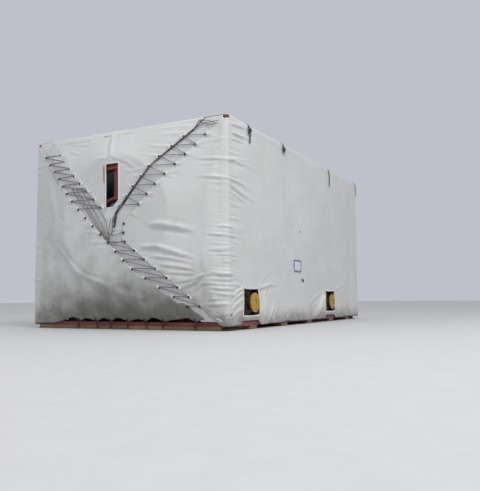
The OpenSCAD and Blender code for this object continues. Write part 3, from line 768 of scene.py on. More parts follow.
def side_hem(start):
    """The lower edge of a side from a place on the end to the far lap, with the notches under the windows."""
    found = []
    for u in np.arange(start, 2 * HALF_L + LAP, 0.05):
        wave = 0.012 * math.sin(u * 2.1) + 0.010 * math.sin(u * 5.3 + 1.0)
        z = HEM_Z + wave * (u > 0.3)
        for x in WINDOW_X:
            if abs(u - x) < NOTCH_HALF:
                z = HEM_Z + NOTCH_RISE * (1 - smooth_step(abs(u - x), NOTCH_FLAT, NOTCH_HALF))
        found.append((float(u), float(z)))
    return found + [(2 * HALF_L + LAP, HEM_Z)]


def side_top():
    """The upper edge from the far lap back to the corner opening, over the roof's edge."""
    return [(2 * HALF_L + LAP, ROOF_Z - 0.07), (2 * HALF_L - 0.02, ROOF_Z - 0.02),
            (2 * HALF_L - 0.06, ROOF_Z + LAP), (CORNER_OPEN + 0.02, ROOF_Z + LAP),
            (CORNER_OPEN, ROOF_Z - CORNER_OPEN * 0.6), (CORNER_OPEN * 0.7, ROOF_Z - CORNER_OPEN),
            (0.0, ROOF_Z - CORNER_OPEN * 1.05)]

# %% Right piece: outline
right_outline = laced_edge(RIGHT_HIGH_ROW, -1, 1, 5.34, 2.84)
right_outline += [(u_of(y, -1), z) for y, z in ((-0.315, 2.80), (-0.30, 2.60), (-0.31, 2.40))]
right_outline += laced_edge(RIGHT_LOW_ROW, -1, 1, 2.32, HEM_Z + 0.02)
right_outline += side_hem(-0.12) + side_top()
window_holes = [window_hole(x) for x in WINDOW_X]
right_flat, right_tris = cut_cloth(
    right_outline, fine=0.031, holes=window_holes, coarse=0.052,
    is_fine=lambda u, z: (u < 0.9) | ((z < 1.35) & (u < 4.0)) | ((z < 1.2) & (u > 5.7) & (u < 8.9)))

# %% Right piece: folds
edge_folds = fold_table("""
-1.1 4.43, -0.08 4.33, 0.23 4.34, 1.08 4.36, 2.1 4.3 | 0.04 0.02 0.3 0.6
-0.9 4.2, -0.1 4.27, 0.5 4.42, 1.86 4.52 | 0.035 0.012 0.3 0.6
-0.95 3.96, -0.07 3.85, 0.62 3.83, 1.9 3.66 | 0.045 0.024 0.3 0.6
-0.6 3.77, -0.06 3.73, 0.25 3.66, 0.97 3.52, 2.1 3.38 | 0.042 0.022 0.3 0.6
-0.5 3.58, 0.1 3.52, 0.8 3.38, 1.5 3.28 | 0.035 0.012 0.4 0.6
0.1 5.06, 0.9 5.09, 1.6 5.16 | 0.038 0.024 0.2 0.6
0.05 5.27, 0.73 5.34, 1.4 5.36 | 0.034 0.02 0.2 0.6
0.05 4.88, 0.6 4.93, 1.2 4.96 | 0.03 0.01 0.2 0.6
""")
edge_folds += fold_table("""
-1.03 2.74, -1.6 2.72, -2.55 2.52 | 0.075 0.04 0.3 0.4
-0.7 2.17, -1.43 2.16, -1.81 2.04, -2.55 1.8 | 0.06 0.034 0.3 0.35
-1.1 1.92, -1.8 1.86, -2.5 1.69 | 0.04 0.022 0.3 0.4
-1.35 1.71, -2.07 1.62, -2.6 1.5 | 0.038 0.02 0.3 0.4
-1.6 1.49, -2.1 1.46, -2.62 1.43 | 0.034 0.018 0.3 0.4
-1.85 1.22, -2.37 1.3, -2.66 1.42 | 0.034 0.02 0.3 0.2
-2.05 1.06, -2.44 1.24, -2.68 1.45 | 0.036 0.04 0.3 0.15
-2.68 1.45, -2.69 1.95, -2.6 2.4 | 0.075 0.01 0.05 0.7 0.2
-2.3 0.95, -2.6 1.18, -3.1 1.24 | 0.034 0.016 0.3 0.4
""", -1)
window_folds = fold_table("""
5.75 0.13, 6.4 0.42, 7.02 1 | 0.095 0.12 0.1 0.15 0.3
6.1 0.13, 6.6 0.4, 7.1 0.62 | 0.05 0.03 0.1 0.2
6.75 0.14, 6.95 0.35, 7.12 0.45 | 0.04 0.022 0.1 0.2
5.2 0.5, 6.2 0.86, 6.95 1.08 | 0.06 0.018 0.4 0.2
2.3 0.14, 2.7 0.55, 2.98 0.85 | 0.05 0.044 0.1 0.6
2.62 0.14, 2.95 0.5, 3.15 0.72 | 0.045 0.036 0.1 0.6
3.3 0.14, 3.39 0.65, 3.42 0.95 | 0.045 0.018 0.1 0.7
2.05 0.14, 2.2 0.6, 2.45 1.05 | 0.05 0.022 0.1 0.6
1.86 0.3, 2.1 0.9, 2.6 1.35 | 0.05 0.036 0.1 0.7
1.74 1.08, 2.5 1.2, 3.3 1.18 | 0.05 0.036 0.05 0.8
1.72 1.1, 2.2 1.45, 2.9 1.75 | 0.045 0.012 0.05 0.9
0.78 1.07, 0.45 0.98, 0.1 0.78 | 0.036 0.036 0.05 0.6
0.78 0.97, 0.42 0.85, 0.05 0.62 | 0.032 0.034 0.05 0.6
0.78 0.8, 0.4 0.66, 0.02 0.45 | 0.032 0.03 0.05 0.6
0.76 0.55, 0.4 0.44, 0.05 0.25 | 0.032 0.026 0.05 0.6
0.8 1.09, 0.4 1.18, -0.1 1.14 | 0.032 0.022 0.05 0.6
8.12 0.35, 8.5 0.75, 8.8 1.3 | 0.06 0.024 0.1 0.8
8.1 1.08, 8.8 1.25, 9.6 1.3 | 0.05 0.016 0.05 0.8
8.35 0.14, 8.7 0.5, 9.3 0.9 | 0.06 0.022 0.1 0.7
9.2 0.14, 9.4 0.5, 9.8 0.8 | 0.05 0.016 0.1 0.7
10.2 0.14, 10.35 0.55, 10.5 1.1 | 0.06 0.018 0.1 0.7
4.2 0.14, 4.25 0.5, 4.1 0.9 | 0.05 0.014 0.1 0.7
""")
# Short folds round the near corner: low on it, over its middle, and finer ones all the way up.
LOW_FOLDS, MIDDLE_FOLDS, FINE_FOLDS, FOLD_GAIN = 44, 20, 26, 1.45
for _ in range(LOW_FOLDS):
    z = uniform(0.22, 1.5)
    start, end = u_of(-2.68, -1) + uniform(-0.05, 0.25), uniform(0.05, 0.55)
    rise = uniform(-0.05, 0.09)
    path = [(start, z + rise), ((start + end) / 2, z + uniform(-0.02, 0.02)), (end, z - rise * 0.4)]
    edge_folds.append((path, uniform(0.022, 0.034), uniform(0.006, 0.013), 0.25, 0.35, 0.7))
for _ in range(MIDDLE_FOLDS):
    z = uniform(1.4, 2.75)
    start, end = uniform(-0.65, -0.25), uniform(0.2, 0.75)
    path = [(start, z + uniform(-0.02, 0.05)), (0.0, z), (end, z - uniform(0.0, 0.08))]
    edge_folds.append((path, uniform(0.022, 0.034), uniform(0.006, 0.013), 0.3, 0.5, 0.7))
for _ in range(FINE_FOLDS):
    z = uniform(1.5, 5.0)
    start, end = uniform(-0.5, -0.1), uniform(0.3, 1.4)
    path = [(start, z + uniform(-0.05, 0.05)), (0.05, z), (end, z - uniform(-0.06, 0.10))]
    edge_folds.append((path, uniform(0.028, 0.05), uniform(0.004, 0.010), 0.3, 0.6, 0.6))
edge_folds = [(path, width, height * FOLD_GAIN, *shares) for path, width, height, *shares in edge_folds]
edge_folds += puckers(RIGHT_HIGH_ROW, -1, -1, 12, 20)
edge_folds += puckers(RIGHT_LOW_ROW, -1, -1, 2, 8)

# %% Right piece
# Each flap's side, folds and seed. On the long sides the folds round the windows come in as well.
FLAPS = {"right": (-1, edge_folds, 3), "right_side": (-1, edge_folds + window_folds, 3)}


def slow_relief(u, z, seed, amount=1.0):
    broad = smooth_noise(u, z, 1.9, seed) * (0.016 + 0.010 * (u < 0))
    middling = smooth_noise(u, z * 1.4, 0.75, seed + 1) * 0.006
    return amount * (broad + middling + smooth_noise(u * 0.8, z * 1.6, 0.28, seed + 2) * 0.0022)


def relief_of(flap, u, z):
    _, listed, seed = FLAPS[flap]
    return slow_relief(u, z, seed) + folds(u, z, listed)


def on_cloth(flap, u, z, clear=0.0):
    """Places on the finished cloth at flat points, some way clear of it, and their outward directions."""
    u, z = np.atleast_1d(np.asarray(u, float)), np.atleast_1d(np.asarray(z, float))
    place, out = surface(u, z, FLAPS[flap][0])
    return place + out * (relief_of(flap, u, z) + clear)[:, None], out


# Darkening by height on the laced end: grime, and painted shade that is heaviest at the hem.
GRIME_AND_SHADE_Z = [0.12, 0.3, 0.5, 0.7, 1.0, 1.3, 1.8, 2.6, 3.4]
GRIME_AND_SHADE = [0.98, 0.94, 0.85, 0.73, 0.56, 0.42, 0.28, 0.16, 0.0]


def side_grime_and_shade(u, z, heavy):
    """Grime and painted shade: up to a man's height on the end, along the foot of the side."""
    on_end = smooth_step(-u, -0.2, 0.6)
    foot = 1 - smooth_step(z, HEM_Z, 0.75)
    return np.clip(on_end * heavy * np.interp(z, GRIME_AND_SHADE_Z, GRIME_AND_SHADE) + (1 - on_end) * 0.62 * foot, 0, 1)


def billow(u, z, wave, finer=0.0):
    """How the foot of a side stands off in waves."""
    foot = (1 - smooth_step(z, HEM_Z, 0.5)) * smooth_step(u, 0.2, 0.8)
    return foot * (0.016 + 0.014 * np.sin(wave) + finer * np.sin(u * 14.7))


u, z = right_flat.T
relief = relief_of("right_side", u, z) + billow(u, z, u * 6.1 + 1.3, 0.008)
pleat = 0.55 * np.exp(-(u / 0.55) ** 2) * (0.35 + 0.65 * (z < 1.8)) + 0.12
right_piece = sheet_piece("cover_right", right_flat, right_tris, -1, relief, side_grime_and_shade(u, z, 0.58), pleat,
                          "end_flap_right", "cover_side_right")

# %% Left piece
LASH_Y = [-2.35, -1.4, -0.8, -0.25, 0.35, 0.85, 1.45]


def end_hem(y):
    """The hem of the laced end: drawn down at each lashing and arched between."""
    nearest = min(abs(y - lash) for lash in LASH_Y)
    arch = HEM_Z + 0.10 + (0.075 + 0.03 * math.sin(y * 5)) * min(1.0, nearest / 0.2) ** 1.3
    return arch + (HEM_Z + 0.02 - arch) * float(smooth_step(np.array(y), 1.7, 2.6))


left_hem = [(u_of(y, 1), end_hem(y)) for y in np.arange(-2.62, HALF_W, 0.05)]
left_edge = [place for place in laced_edge(LEFT_ROW, 1, -1, 5.34, HEM_Z + 0.05) if place[1] > 0.30]
left_outline = left_edge + left_hem + side_hem(0.05) + side_top()
left_flat, left_tris = cut_cloth(left_outline, fine=0.042, holes=window_holes, coarse=0.062,
                                 is_fine=lambda u, z: (u < 0.3) | (z < 1.0))
left_folds = fold_table("""
2.75 4.55, 2.2 3.3, 2.1 2.3 | 0.12 0.016 0.3 0.5 0.4
2 3.15, 1.7 3 | 0.07 -0.022 0.4 0.5 0.2
2.3 2.55, 1.76 2.08, 1.3 1.63, 0.95 1.42, 0.4 1.27, -0.2 1.21 | 0.05 0.014 0.2 0.3 1
1.5 1.9, 1 1.15, 0.5 0.75 | 0.1 0.018 0.3 0.5 0.6
0.6 1.3, -0.3 0.95, -1 0.8 | 0.08 0.02 0.3 0.5 0.7
2.9 2.9, 2.5 1.8, 2.3 0.7 | 0.14 0.016 0.3 0.5 0.4
0.9 2.36, 0.5 2.37, 0.2 2.36 | 0.035 0.014 0.5 0.1
1.15 2.62, 0.8 2.66, 0.5 2.62 | 0.035 0.012 0.5 0.1
0.75 2.12, 0.4 2.2, 0.1 2.24 | 0.035 0.012 0.5 0.1
""", 1)
left_folds += puckers(LEFT_ROW, 1, 1, 9, 20, 0.38, 0.011)
left_folds += puckers(LEFT_ROW, 1, 1, 3, 8, 0.34, 0.010)
for y in LASH_Y:
    for lean in (-0.22, -0.08, 0.06, 0.2):
        path = [(u_of(y, 1), end_hem(y)), (u_of(y + lean, 1), uniform(0.55, 0.85))]
        left_folds.append((path, 0.034, uniform(0.008, 0.016), 0.05, 0.8, 0.5))
LEFT_CORNER_FOLDS = 30
for _ in range(LEFT_CORNER_FOLDS):
    z = uniform(0.4, 5.0)
    path = [(uniform(-0.6, -0.1), z), (0.05, z + uniform(-0.04, 0.04)), (uniform(0.3, 1.6), z - 0.04)]
    left_folds.append((path, uniform(0.03, 0.05), uniform(0.005, 0.011), 0.3, 0.6, 0.6))
FLAPS["left"], FLAPS["left_side"] = (1, left_folds, 11), (1, left_folds + window_folds, 11)
u, z = left_flat.T
relief = relief_of("left_side", u, z) + billow(u, z, u * 5.7)
grime_and_shade = side_grime_and_shade(u, z, 0.78 + 0.22 * smooth_step(-u, 0.4, 3.2))
pleat = 0.35 * np.exp(-(u / 0.5) ** 2) + 0.1
left_piece = sheet_piece("cover_left", left_flat, left_tris, 1, relief, grime_and_shade, pleat,
                         "end_flap_left", "cover_side_left")

# %% Top flap with the inspection slot
SLOT_Y, SLOT_W, SLOT_LOW, SLOT_HIGH, SLOT_CUT = 0.045, 0.43, 3.27, 4.48, 0.19


def slot_loop(grow=0.0):
    """The slot's outline, with one lower corner cut off."""
    near, far = SLOT_Y - SLOT_W / 2 - grow, SLOT_Y + SLOT_W / 2 + grow
    low, high, cut = SLOT_LOW - grow, SLOT_HIGH + grow, SLOT_LOW + SLOT_CUT - grow * 0.4
    corners = [(far, low), (near + SLOT_CUT, low), (near, cut), (near, high), (far, high)]
    return [(u_of(y, -1), z) for y, z in corners]


top_outline = laced_edge(TOP_RIGHT_ROW, -1, -1, 2.44, 5.44)
top_outline += [(u_of(-2.62, -1), ROOF_Z + LAP), (u_of(2.70, -1), ROOF_Z + LAP)]
top_outline += laced_edge(TOP_LEFT_ROW, -1, 1, 5.44, 2.44)
top_flat, top_tris = cut_cloth(top_outline, fine=0.033, holes=[slot_loop()])
top_folds = fold_table("""
0.31 5.36, 0.2 4.95, 0.06 4.62 | 0.07 0.026 0.1 0.15 0.5
0.06 4.64, 0.59 4.68, 1.3 4.45 | 0.045 0.016 0.1 0.4 0.4
0.06 4.64, -0.4 4.5, -0.9 4.15 | 0.045 0.016 0.1 0.4 0.4
1.9 5.3, 1.2 5.2, 0.7 5.22 | 0.04 0.014 0.2 0.5
1.9 5.1, 1.5 4.95, 1.1 4.93 | 0.04 0.014 0.2 0.5
2.2 5.38, 1.4 5.36, 0.5 5.38 | 0.035 0.012 0.2 0.5
-2.14 5.12, -1.5 5.14, -0.9 5.17 | 0.04 0.016 0.1 0.6
-1.75 4.76, -1.3 4.82, -0.8 4.93 | 0.04 0.018 0.1 0.6
-1.45 4.52, -1.1 4.58, -0.8 4.66 | 0.035 0.014 0.1 0.6
-2.3 5.3, -1.6 5.33, -0.6 5.32 | 0.035 0.012 0.1 0.6
-1.1 4.25, -0.6 4.2, -0.25 4.3 | 0.035 0.012 0.1 0.6
0.9 3.82, 0.6 4.1, 0.4 4.3 | 0.04 0.01 0.1 0.6
""", -1)
top_folds += puckers(TOP_LEFT_ROW, -1, -1, 13, 20, 0.34, 0.011)
top_folds += puckers(TOP_RIGHT_ROW, -1, 1, 13, 20, 0.34, 0.011)
FLAPS["top"] = (-1, top_folds, 23)
top_piece = sheet_piece("cover_top_flap", top_flat, top_tris, -1, relief_of("top", *top_flat.T), 0.02, 0.12,
                        "end_flap_top", lift=0.004)

# %% [markdown]
# ## Backing strips, roof and far end
# Behind the open lacing a second cloth keeps the rain out. It is slacker than the flaps and lies a little
# behind them. The roof sheet rests on the frame's bars and sags between them, where water would stand.
# The far end is one plain sheet over the exhaust flange.

# %% Backing
BACK_LAP, BEHIND, GAPE = 0.16, 0.0145, 0.115


def gape(z):
    """Where the right gap stands open beside the top flap."""
    return float(smooth_step(z, 2.5, 2.8) * (1 - smooth_step(z, 3.1, 4.6)))


def backing(name, right_row, left_row, low, high, seed, *replaced, opening=None):
    """A strip behind a laced gap. Opening gives how far its left edge falls short of the flap."""
    outline = []
    for row, way in ((right_row, -1), (left_row, 1)):
        for z in np.arange(low, high + 0.01, 0.05)[::-way]:
            y = float(row_y(row, z)) + way * BACK_LAP
            if opening and way == 1:
                y -= BACK_LAP + GAPE * opening(z)
            most = HALF_W - (0.03 if z < ROOF_Z - CORNER_OPEN - 0.03 else CORNER_OPEN + 0.02)
            outline.append((u_of(min(max(y, -most), most), -1), float(z)))
    flat, tris = cut_cloth(outline, fine=0.045)
    u, z = flat.T
    slack = 0.003 * (1 + smooth_noise(u, z, 0.4, seed + 5))
    relief = np.maximum(slow_relief(u, z, seed), LEAST) - BEHIND - slack
    grime_and_shade = 0.16 + 0.75 * (1 - smooth_step(z, 0.3, 1.5))
    made = sheet_piece(name, flat, tris, -1, relief, grime_and_shade, 0.3, *replaced, material=inner_cloth, least=-0.03)
    return made, flat, tris


back_low, low_flat, low_tris = backing(
    "backing_low", RIGHT_LOW_ROW + [(-0.36, 2.6)], LEFT_ROW, 0.22, 2.75, 31, "end_backing")
back_left, bl_flat, bl_tris = backing("backing_left", TOP_LEFT_ROW, LEFT_ROW, 2.62, ROOF_Z + 0.1, 37)
back_right, br_flat, br_tris = backing(
    "backing_right", RIGHT_HIGH_ROW, TOP_RIGHT_ROW, 2.62, ROOF_Z + 0.1, 41, opening=gape)

# %% Roof sheet
BAR_END, BAR_GAPS, SAG, ROOF_FOLDS = 5.4754, 10, 0.042, 70
near, far, wide = -HALF_L + 0.015, HALF_L - 0.05, HALF_W - 0.03
notch, notch_y = -HALF_L + CORNER_OPEN, HALF_W - CORNER_OPEN
roof_outline = [(near, -notch_y), (notch, -notch_y), (notch, -wide), (far, -wide), (far, wide), (notch, wide),
                (notch, notch_y), (near, notch_y)]
roof_flat, roof_tris = cut_cloth(roof_outline, fine=0.075)
x, y = roof_flat.T
share = ((x + BAR_END) / (2 * BAR_END / BAR_GAPS)) % 1.0
arch = 4 * share * (1 - share)
sag = SAG * arch * (1 - (y / HALF_W) ** 4) * (np.abs(x) < BAR_END)
roof_folds = []
for _ in range(ROOF_FOLDS):
    cx, cy = uniform(-5.2, 5.2), random.choice([-1, 1]) * uniform(1.6, 3.1)
    turn, reach = uniform(-0.9, 0.9), uniform(0.3, 0.9)
    path = [(cx, cy), (cx + reach * math.sin(turn), cy - math.copysign(reach * math.cos(turn), cy))]
    roof_folds.append((path, uniform(0.07, 0.11), uniform(0.006, 0.014), 0.3, 0.6, 0.5))
inland = smooth_step(np.minimum(HALF_L - np.abs(x), HALF_W - np.abs(y)), 0.05, 0.25)
height = ROOF_Z + CLEAR + 0.007 + 0.008 * inland - sag
height += folds(x, y, roof_folds) * (0.3 + 0.7 * np.minimum(1, arch))
height += 0.004 * (1 + smooth_noise(x, y, 0.9, 51)) * inland
height -= np.maximum(0.013 * (1 - smooth_step(HALF_L + x, 0.015, 0.06)),
                     0.006 * (1 - smooth_step(HALF_W - np.abs(y), 0.03, 0.08)))
roof_piece = cloth_piece("cover_roof_sheet", np.stack([x, y, height], -1), roof_tris, 0.16 * arch, 0.15,
                         "cover_roof")

# %% Far end sheet
far_outline = [(-HALF_W + 0.03, HEM_Z + 0.02), (HALF_W - 0.03, HEM_Z + 0.02), (HALF_W - 0.03, ROOF_Z - 0.03),
               (HALF_W - 0.12, ROOF_Z + 0.2), (-HALF_W + 0.12, ROOF_Z + 0.2), (-HALF_W + 0.03, ROOF_Z - 0.03)]
far_flat, far_tris = cut_cloth(far_outline, fine=0.065)
y, z = far_flat.T
far_folds = []
FAR_FOLDS = 60
for _ in range(FAR_FOLDS):
    angle, start = uniform(0, 2 * math.pi), uniform(2.0, 2.3)
    reaches = (start, start + uniform(0.4, 1.0))
    path = [(reach * math.cos(angle), SHAFT_Z + reach * math.sin(angle)) for reach in reaches]
    far_folds.append((path, uniform(0.05, 0.09), uniform(0.006, 0.014), 0.4, 0.6, 0.5))
place = 0
for a in SPREAD:
    for b in SPREAD:
        over = np.maximum(z + b * ROUND - ROOF_Z, 0)
        level = np.minimum(z + b * ROUND, ROOF_Z)
        out = stand_out(y + a * ROUND, level, FAR_BULGE, FAR_RIM)
        place = place + np.stack([HALF_L + CLEAR + 0.014 + out - over, y, level], -1)
place = place / len(SPREAD) ** 2
inland = HALF_W - np.abs(y)
relief = (folds(y, z, far_folds) + np.abs(slow_relief(y, z, 61, 0.6))) * (z < ROOF_Z - 0.05)
place[:, 0] += relief * smooth_step(inland, 0.06, 0.3) - 0.014 * (1 - smooth_step(inland, 0.03, 0.07))
place[:, 2] += (CLEAR + 0.026) * smooth_step(z, ROOF_Z - 0.06, ROOF_Z + 0.02)
far_piece = cloth_piece("cover_far_sheet", place, far_tris, 0.6 * (1 - smooth_step(z, 0.1, 1.1)), 0.12,
                        "cover_far_end")

# %% [markdown]
# ## Ropes
# The lacing is a laid rope of three strands. A round tube would look like wire, so the section here has three
# lobes that turn as they run along the path. The rope crosses from flap to flap at each pair of eyelets and
# climbs to the next pair on the slant. It is drawn tight, so it is straight between eyelets.

# %% Rope maker
def smoothed(points, step):
    """Points a step apart along a path."""
    points = np.array(points, float)
    lengths = np.concatenate([[0], np.cumsum(np.linalg.norm(np.diff(points, axis=0), axis=1))])
    at = np.linspace(0, lengths[-1], max(4, int(lengths[-1] / step)))
    return np.stack([np.interp(at, lengths, values) for values in points.T], -1)


def eased(line, rounds):
    for _ in range(rounds):
        line[1:-1] = (line[:-2] + 2 * line[1:-1] + line[2:]) / 4
    return line


def circle(place, side, third, radius, n):
    """Points round a place, with one radius or one for each of them."""
    a = np.linspace(0, 2 * math.pi, n, endpoint=False)[:, None]
    return place + np.reshape(radius, (-1, 1)) * (np.cos(a) * side + np.sin(a) * third)


def axes(out, hint=(0, 0, 1.0)):
    """Two directions across a direction."""
    side = unit(np.cross(out, hint))
    return side, np.cross(out, side)


def tube_faces(n, k, closed=False):
    """Faces of a tube of n rings of k points, shut at both ends or closed on itself."""
    faces = [(i * k + j, i * k + (j + 1) % k, (i + 1) % n * k + (j + 1) % k, (i + 1) % n * k + j)
             for i in range(n if closed else n - 1) for j in range(k)]
    return faces if closed else faces + [tuple(range(k))[::-1], tuple((n - 1) * k + j for j in range(k))]


STRANDS, LAY, ROPE = 3, 3.4, 0.018


def rope_mesh(path, d, step=0.014, sides=9):
    """Points and faces of a laid rope along a path."""
    line = eased(smoothed(path, step), 2)
    ahead = unit(np.gradient(line, axis=0))
    side = np.cross(ahead[0], (0.13, 0.31, 0.94))
    around = np.linspace(0, 2 * math.pi, sides, endpoint=False)
    rings, run = [], 0.0
    for i, (p, t) in enumerate(zip(line, ahead)):
        side = unit(side - t * side.dot(t))
        run += np.linalg.norm(line[i] - line[i - 1]) if i else 0
        twist = 2 * math.pi * run / (LAY * d)
        r = d / 2 * (0.90 + 0.16 * np.cos(STRANDS * (around - twist)))
        rings.append(circle(p, side, np.cross(t, side), r, sides))
    return np.concatenate(rings), tube_faces(len(rings), sides)


def joined(parts):
    verts, faces, start = [], [], 0
    for v, f in parts:
        verts.append(np.asarray(v))
        faces.extend(tuple(i + start for i in face) for face in f)
        start += len(v)
    return np.concatenate(verts), faces


def loose_piece(name, parts, material, slot, *replaced, smooth=True):
    verts, faces = joined(parts)
    made = mesh_piece(name, verts, faces, material, smooth)
    if replaced:
        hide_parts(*replaced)
    print(name, sum(len(f) - 2 for f in faces), "triangles")


def cloth_point(flap, y, z, clear=0.0):
    """One place on the finished cloth of the laced end, and its outward direction."""
    place, out = on_cloth(flap, u_of(y, FLAPS[flap][0]), z, clear)
    return place[0], out[0]


def bridge(p, q, lift=0.0, n=7):
    """Points from p to q in a straight pull, kept clear of the bulge between them."""
    points = [np.array(p) * (1 - t) + np.array(q) * t for t in np.linspace(0, 1, n)]
    for point in points[1:-1]:
        y, z = np.array([point[1]]), np.array([point[2]])
        face = -HALF_L - CLEAR - float(end_out(y, z)[0]) - 0.016 - lift
        point[0] = min(point[0], face)
    return points


def lacing(row_a, flap_a, row_b, flap_b, levels):
    """The rope of one band, and the places and directions of its eyelets."""
    path, eyelets = [], []
    for i in levels:
        z = level_z(i)
        ends = []
        for row, flap in ((row_a, flap_a), (row_b, flap_b)):
            y = float(row_y(row, z))
            top, out = cloth_point(flap, y, z, ROPE * 0.55)
            low, _ = cloth_point(flap, y, z, -0.004)
            ends.append((top, low))
            eyelets.append((cloth_point(flap, y, z, 0.0)[0], out))
        (a, a_low), (b, b_low) = ends
        if path:
            path += bridge(path[-1], a)[1:-1]
        path += [a, a_low + (0, 0, 0.012), a + (0, 0, 0.024)]
        path += bridge(path[-1], b)[1:-1]
        path += [b, b_low + (0, 0, 0.012), b + (0, 0, 0.024)]
    return path, eyelets


def knot(place, out, size, seed):
    """A stopper knot: a rope that winds round itself."""
    side, third = axes(out)
    path = []
    for t in np.linspace(0, 2 * math.pi * 2.3, 40):
        arm = math.cos(t) * side + math.sin(t) * third
        lift = ROPE * 0.6 + 0.3 * size * math.sin(2.2 * t + seed)
        path.append(place + out * lift + arm * size * (0.62 + 0.3 * math.cos(t * 1.5 + seed)))
    return rope_mesh(path, ROPE * 1.3, 0.012, 7)

# %% The three bands
UPPER, LOWER = range(13, 21), range(2, 10)
upper_left_path, eyelets = lacing(LEFT_ROW, "left", TOP_LEFT_ROW, "top", UPPER)
upper_right_path, more = lacing(TOP_RIGHT_ROW, "top", RIGHT_HIGH_ROW, "right", UPPER)
lower_path, most = lacing(LEFT_ROW, "left", RIGHT_LOW_ROW, "right", LOWER)
eyelets += more + most
eyelets += [cloth_point("left", float(row_y(LEFT_ROW, level_z(i))), level_z(i)) for i in (10, 11, 12)]
eyelets += [cloth_point("right", -0.37, level_z(i)) for i in (10, 11)]


def long_ropes(lines, d=ROPE, step=0.014, lift=0.004):
    """Tight ropes over the end, each through places given as y and z."""
    found = []
    for points in lines:
        path, clear = [], ROPE * 0.55 + lift
        for a, b in zip(points[:-1], points[1:]):
            path += bridge(cloth_point("left", *a, clear)[0], cloth_point("left", *b, clear)[0], lift)
        found.append(rope_mesh(path, d, step))
    return found


cross_ropes = [
    [(1.45, 3.90), (0.49, 2.73), (0.24, 2.42)], [(1.30, 3.88), (0.46, 2.79), (0.20, 2.40)],
    [(1.14, 3.90), (0.35, 2.81), (0.17, 2.42)], [(0.98, 3.86), (0.22, 2.93), (0.12, 2.44)],
    [(1.45, 3.90), (1.00, 3.88)], [(0.06, 2.98), (0.16, 2.40), (0.05, 2.34)],
    [(-0.02, 3.02), (0.02, 2.60), (0.18, 2.36)], [(0.22, 2.59), (-0.08, 2.50), (-0.37, 2.60)],
    [(0.20, 2.38), (-0.10, 2.30), (-0.37, 2.36)],
]
parts = [rope_mesh(upper_left_path, ROPE)] + long_ropes(cross_ropes)
loose_piece("rope_upper_left", parts, line_rope, "lacing_rope", "lacing_upper_left")
edge_line = [(float(row_y(TOP_RIGHT_ROW, z)) - 0.05, float(z)) for z in np.arange(5.30, 2.50, -0.12)]
loose_piece("flap_edge_rope", long_ropes([edge_line], 0.026, 0.016), line_rope, "lacing_rope")
corner_ropes = [[(-2.40, 5.30), (-2.47, 5.42), (-2.75, 5.36), (-3.00, 5.24)], [(-2.47, 5.34), (-2.91, 5.21)],
                [(-2.20, 5.10), (-2.62, 5.30), (-3.05, 5.33)], [(0.64, 5.36), (0.52, 5.37), (0.38, 5.36)],
                [(-0.04, 5.34), (-0.20, 5.35), (-0.36, 5.33)]]
parts = [rope_mesh(upper_right_path, ROPE)] + long_ropes(corner_ropes)
loose_piece("rope_upper_right", parts, line_rope, "lacing_rope", "lacing_upper_right")
loose_piece("rope_lower_right", [rope_mesh(lower_path, ROPE)], line_rope, "lacing_rope", "lacing_lower_right")

# %% Eyelets and knots
def ring_mesh(place, out, radius, section, around=16, sides=8):
    """A ring that lies on the cloth."""
    arms = circle(np.zeros(3), *axes(out), 1.0, around)
    rings = [circle(place + arm * radius + out * 0.002, arm, out * 0.5, section, sides) for arm in arms]
    return np.concatenate(rings), tube_faces(around, sides, True)


def disc_mesh(place, out, radius, around=14):
    rings = [circle(place + out * rise, *axes(out), radius, around) for rise in (-0.0035, 0.0035)]
    return np.concatenate(rings), tube_faces(2, around)


EYELET_R, EYELET_WIRE, KNOT = 0.019, 0.007, 0.036
parts = [ring_mesh(p, out, EYELET_R, EYELET_WIRE) for p, out in eyelets]
loose_piece("eyelet_rings", parts, eyelet_metal, "casing_steel")
# Knots in near-black, which also stands in for the shade in the gaps at the eyelets.
parts = [knot(p, out, KNOT, i) for i, (p, out) in enumerate(eyelets)]
loose_piece("lacing_knots", parts, dark_rope_and_shade, "lacing_rope")

# %% Hem lashings
parts = []
sill_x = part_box("end_sill_near")[0].x
for i, y in enumerate(LASH_Y):
    top, out = cloth_point("left", y, end_hem(y) + 0.07, ROPE * 0.5)
    low = np.array((sill_x - ROPE * 0.6, y + 0.05 * math.sin(i * 2.3), 0.075))
    middle = (top + low) / 2
    for path in ([top + (0.02, 0, 0.0), top, middle + (-0.004, 0, 0), low, low - (0, 0, 0.05)],
                 [top, middle + (0, 0.03, 0), low + (0, 0.05, 0), low + (0, 0.05, -0.045)]):
        parts.append(rope_mesh(path, ROPE))
    parts.append(knot(top, out, 0.026, i))
loose_piece("hem_lashing_ropes", parts, dark_rope_and_shade, "lacing_rope", "hem_lashings")

# %% [markdown]
# ## Straps over the roof
# Four straps hold the roof sheet. Their ends come down both sides, and two of them are knotted near the edge. A
# strap is a flat ribbon swept along its path, with two of them crossed at the knot.

# %% Strap maker
def ribbon_mesh(path, across, width, thickness, step=0.05):
    """A flat strap along a path. Across is the direction of its width."""
    line, across = eased(smoothed(path, step), 1), np.array(across, float)
    ahead = unit(np.gradient(line, axis=0))
    wide = unit(across - ahead * (ahead @ across)[:, None])
    a, b = wide * width / 2, np.cross(ahead, wide) * thickness / 2
    verts = np.stack([line - a - b, line + a - b, line + a + b, line - a + b], 1).reshape(-1, 3)
    return verts, tube_faces(len(line), 4)


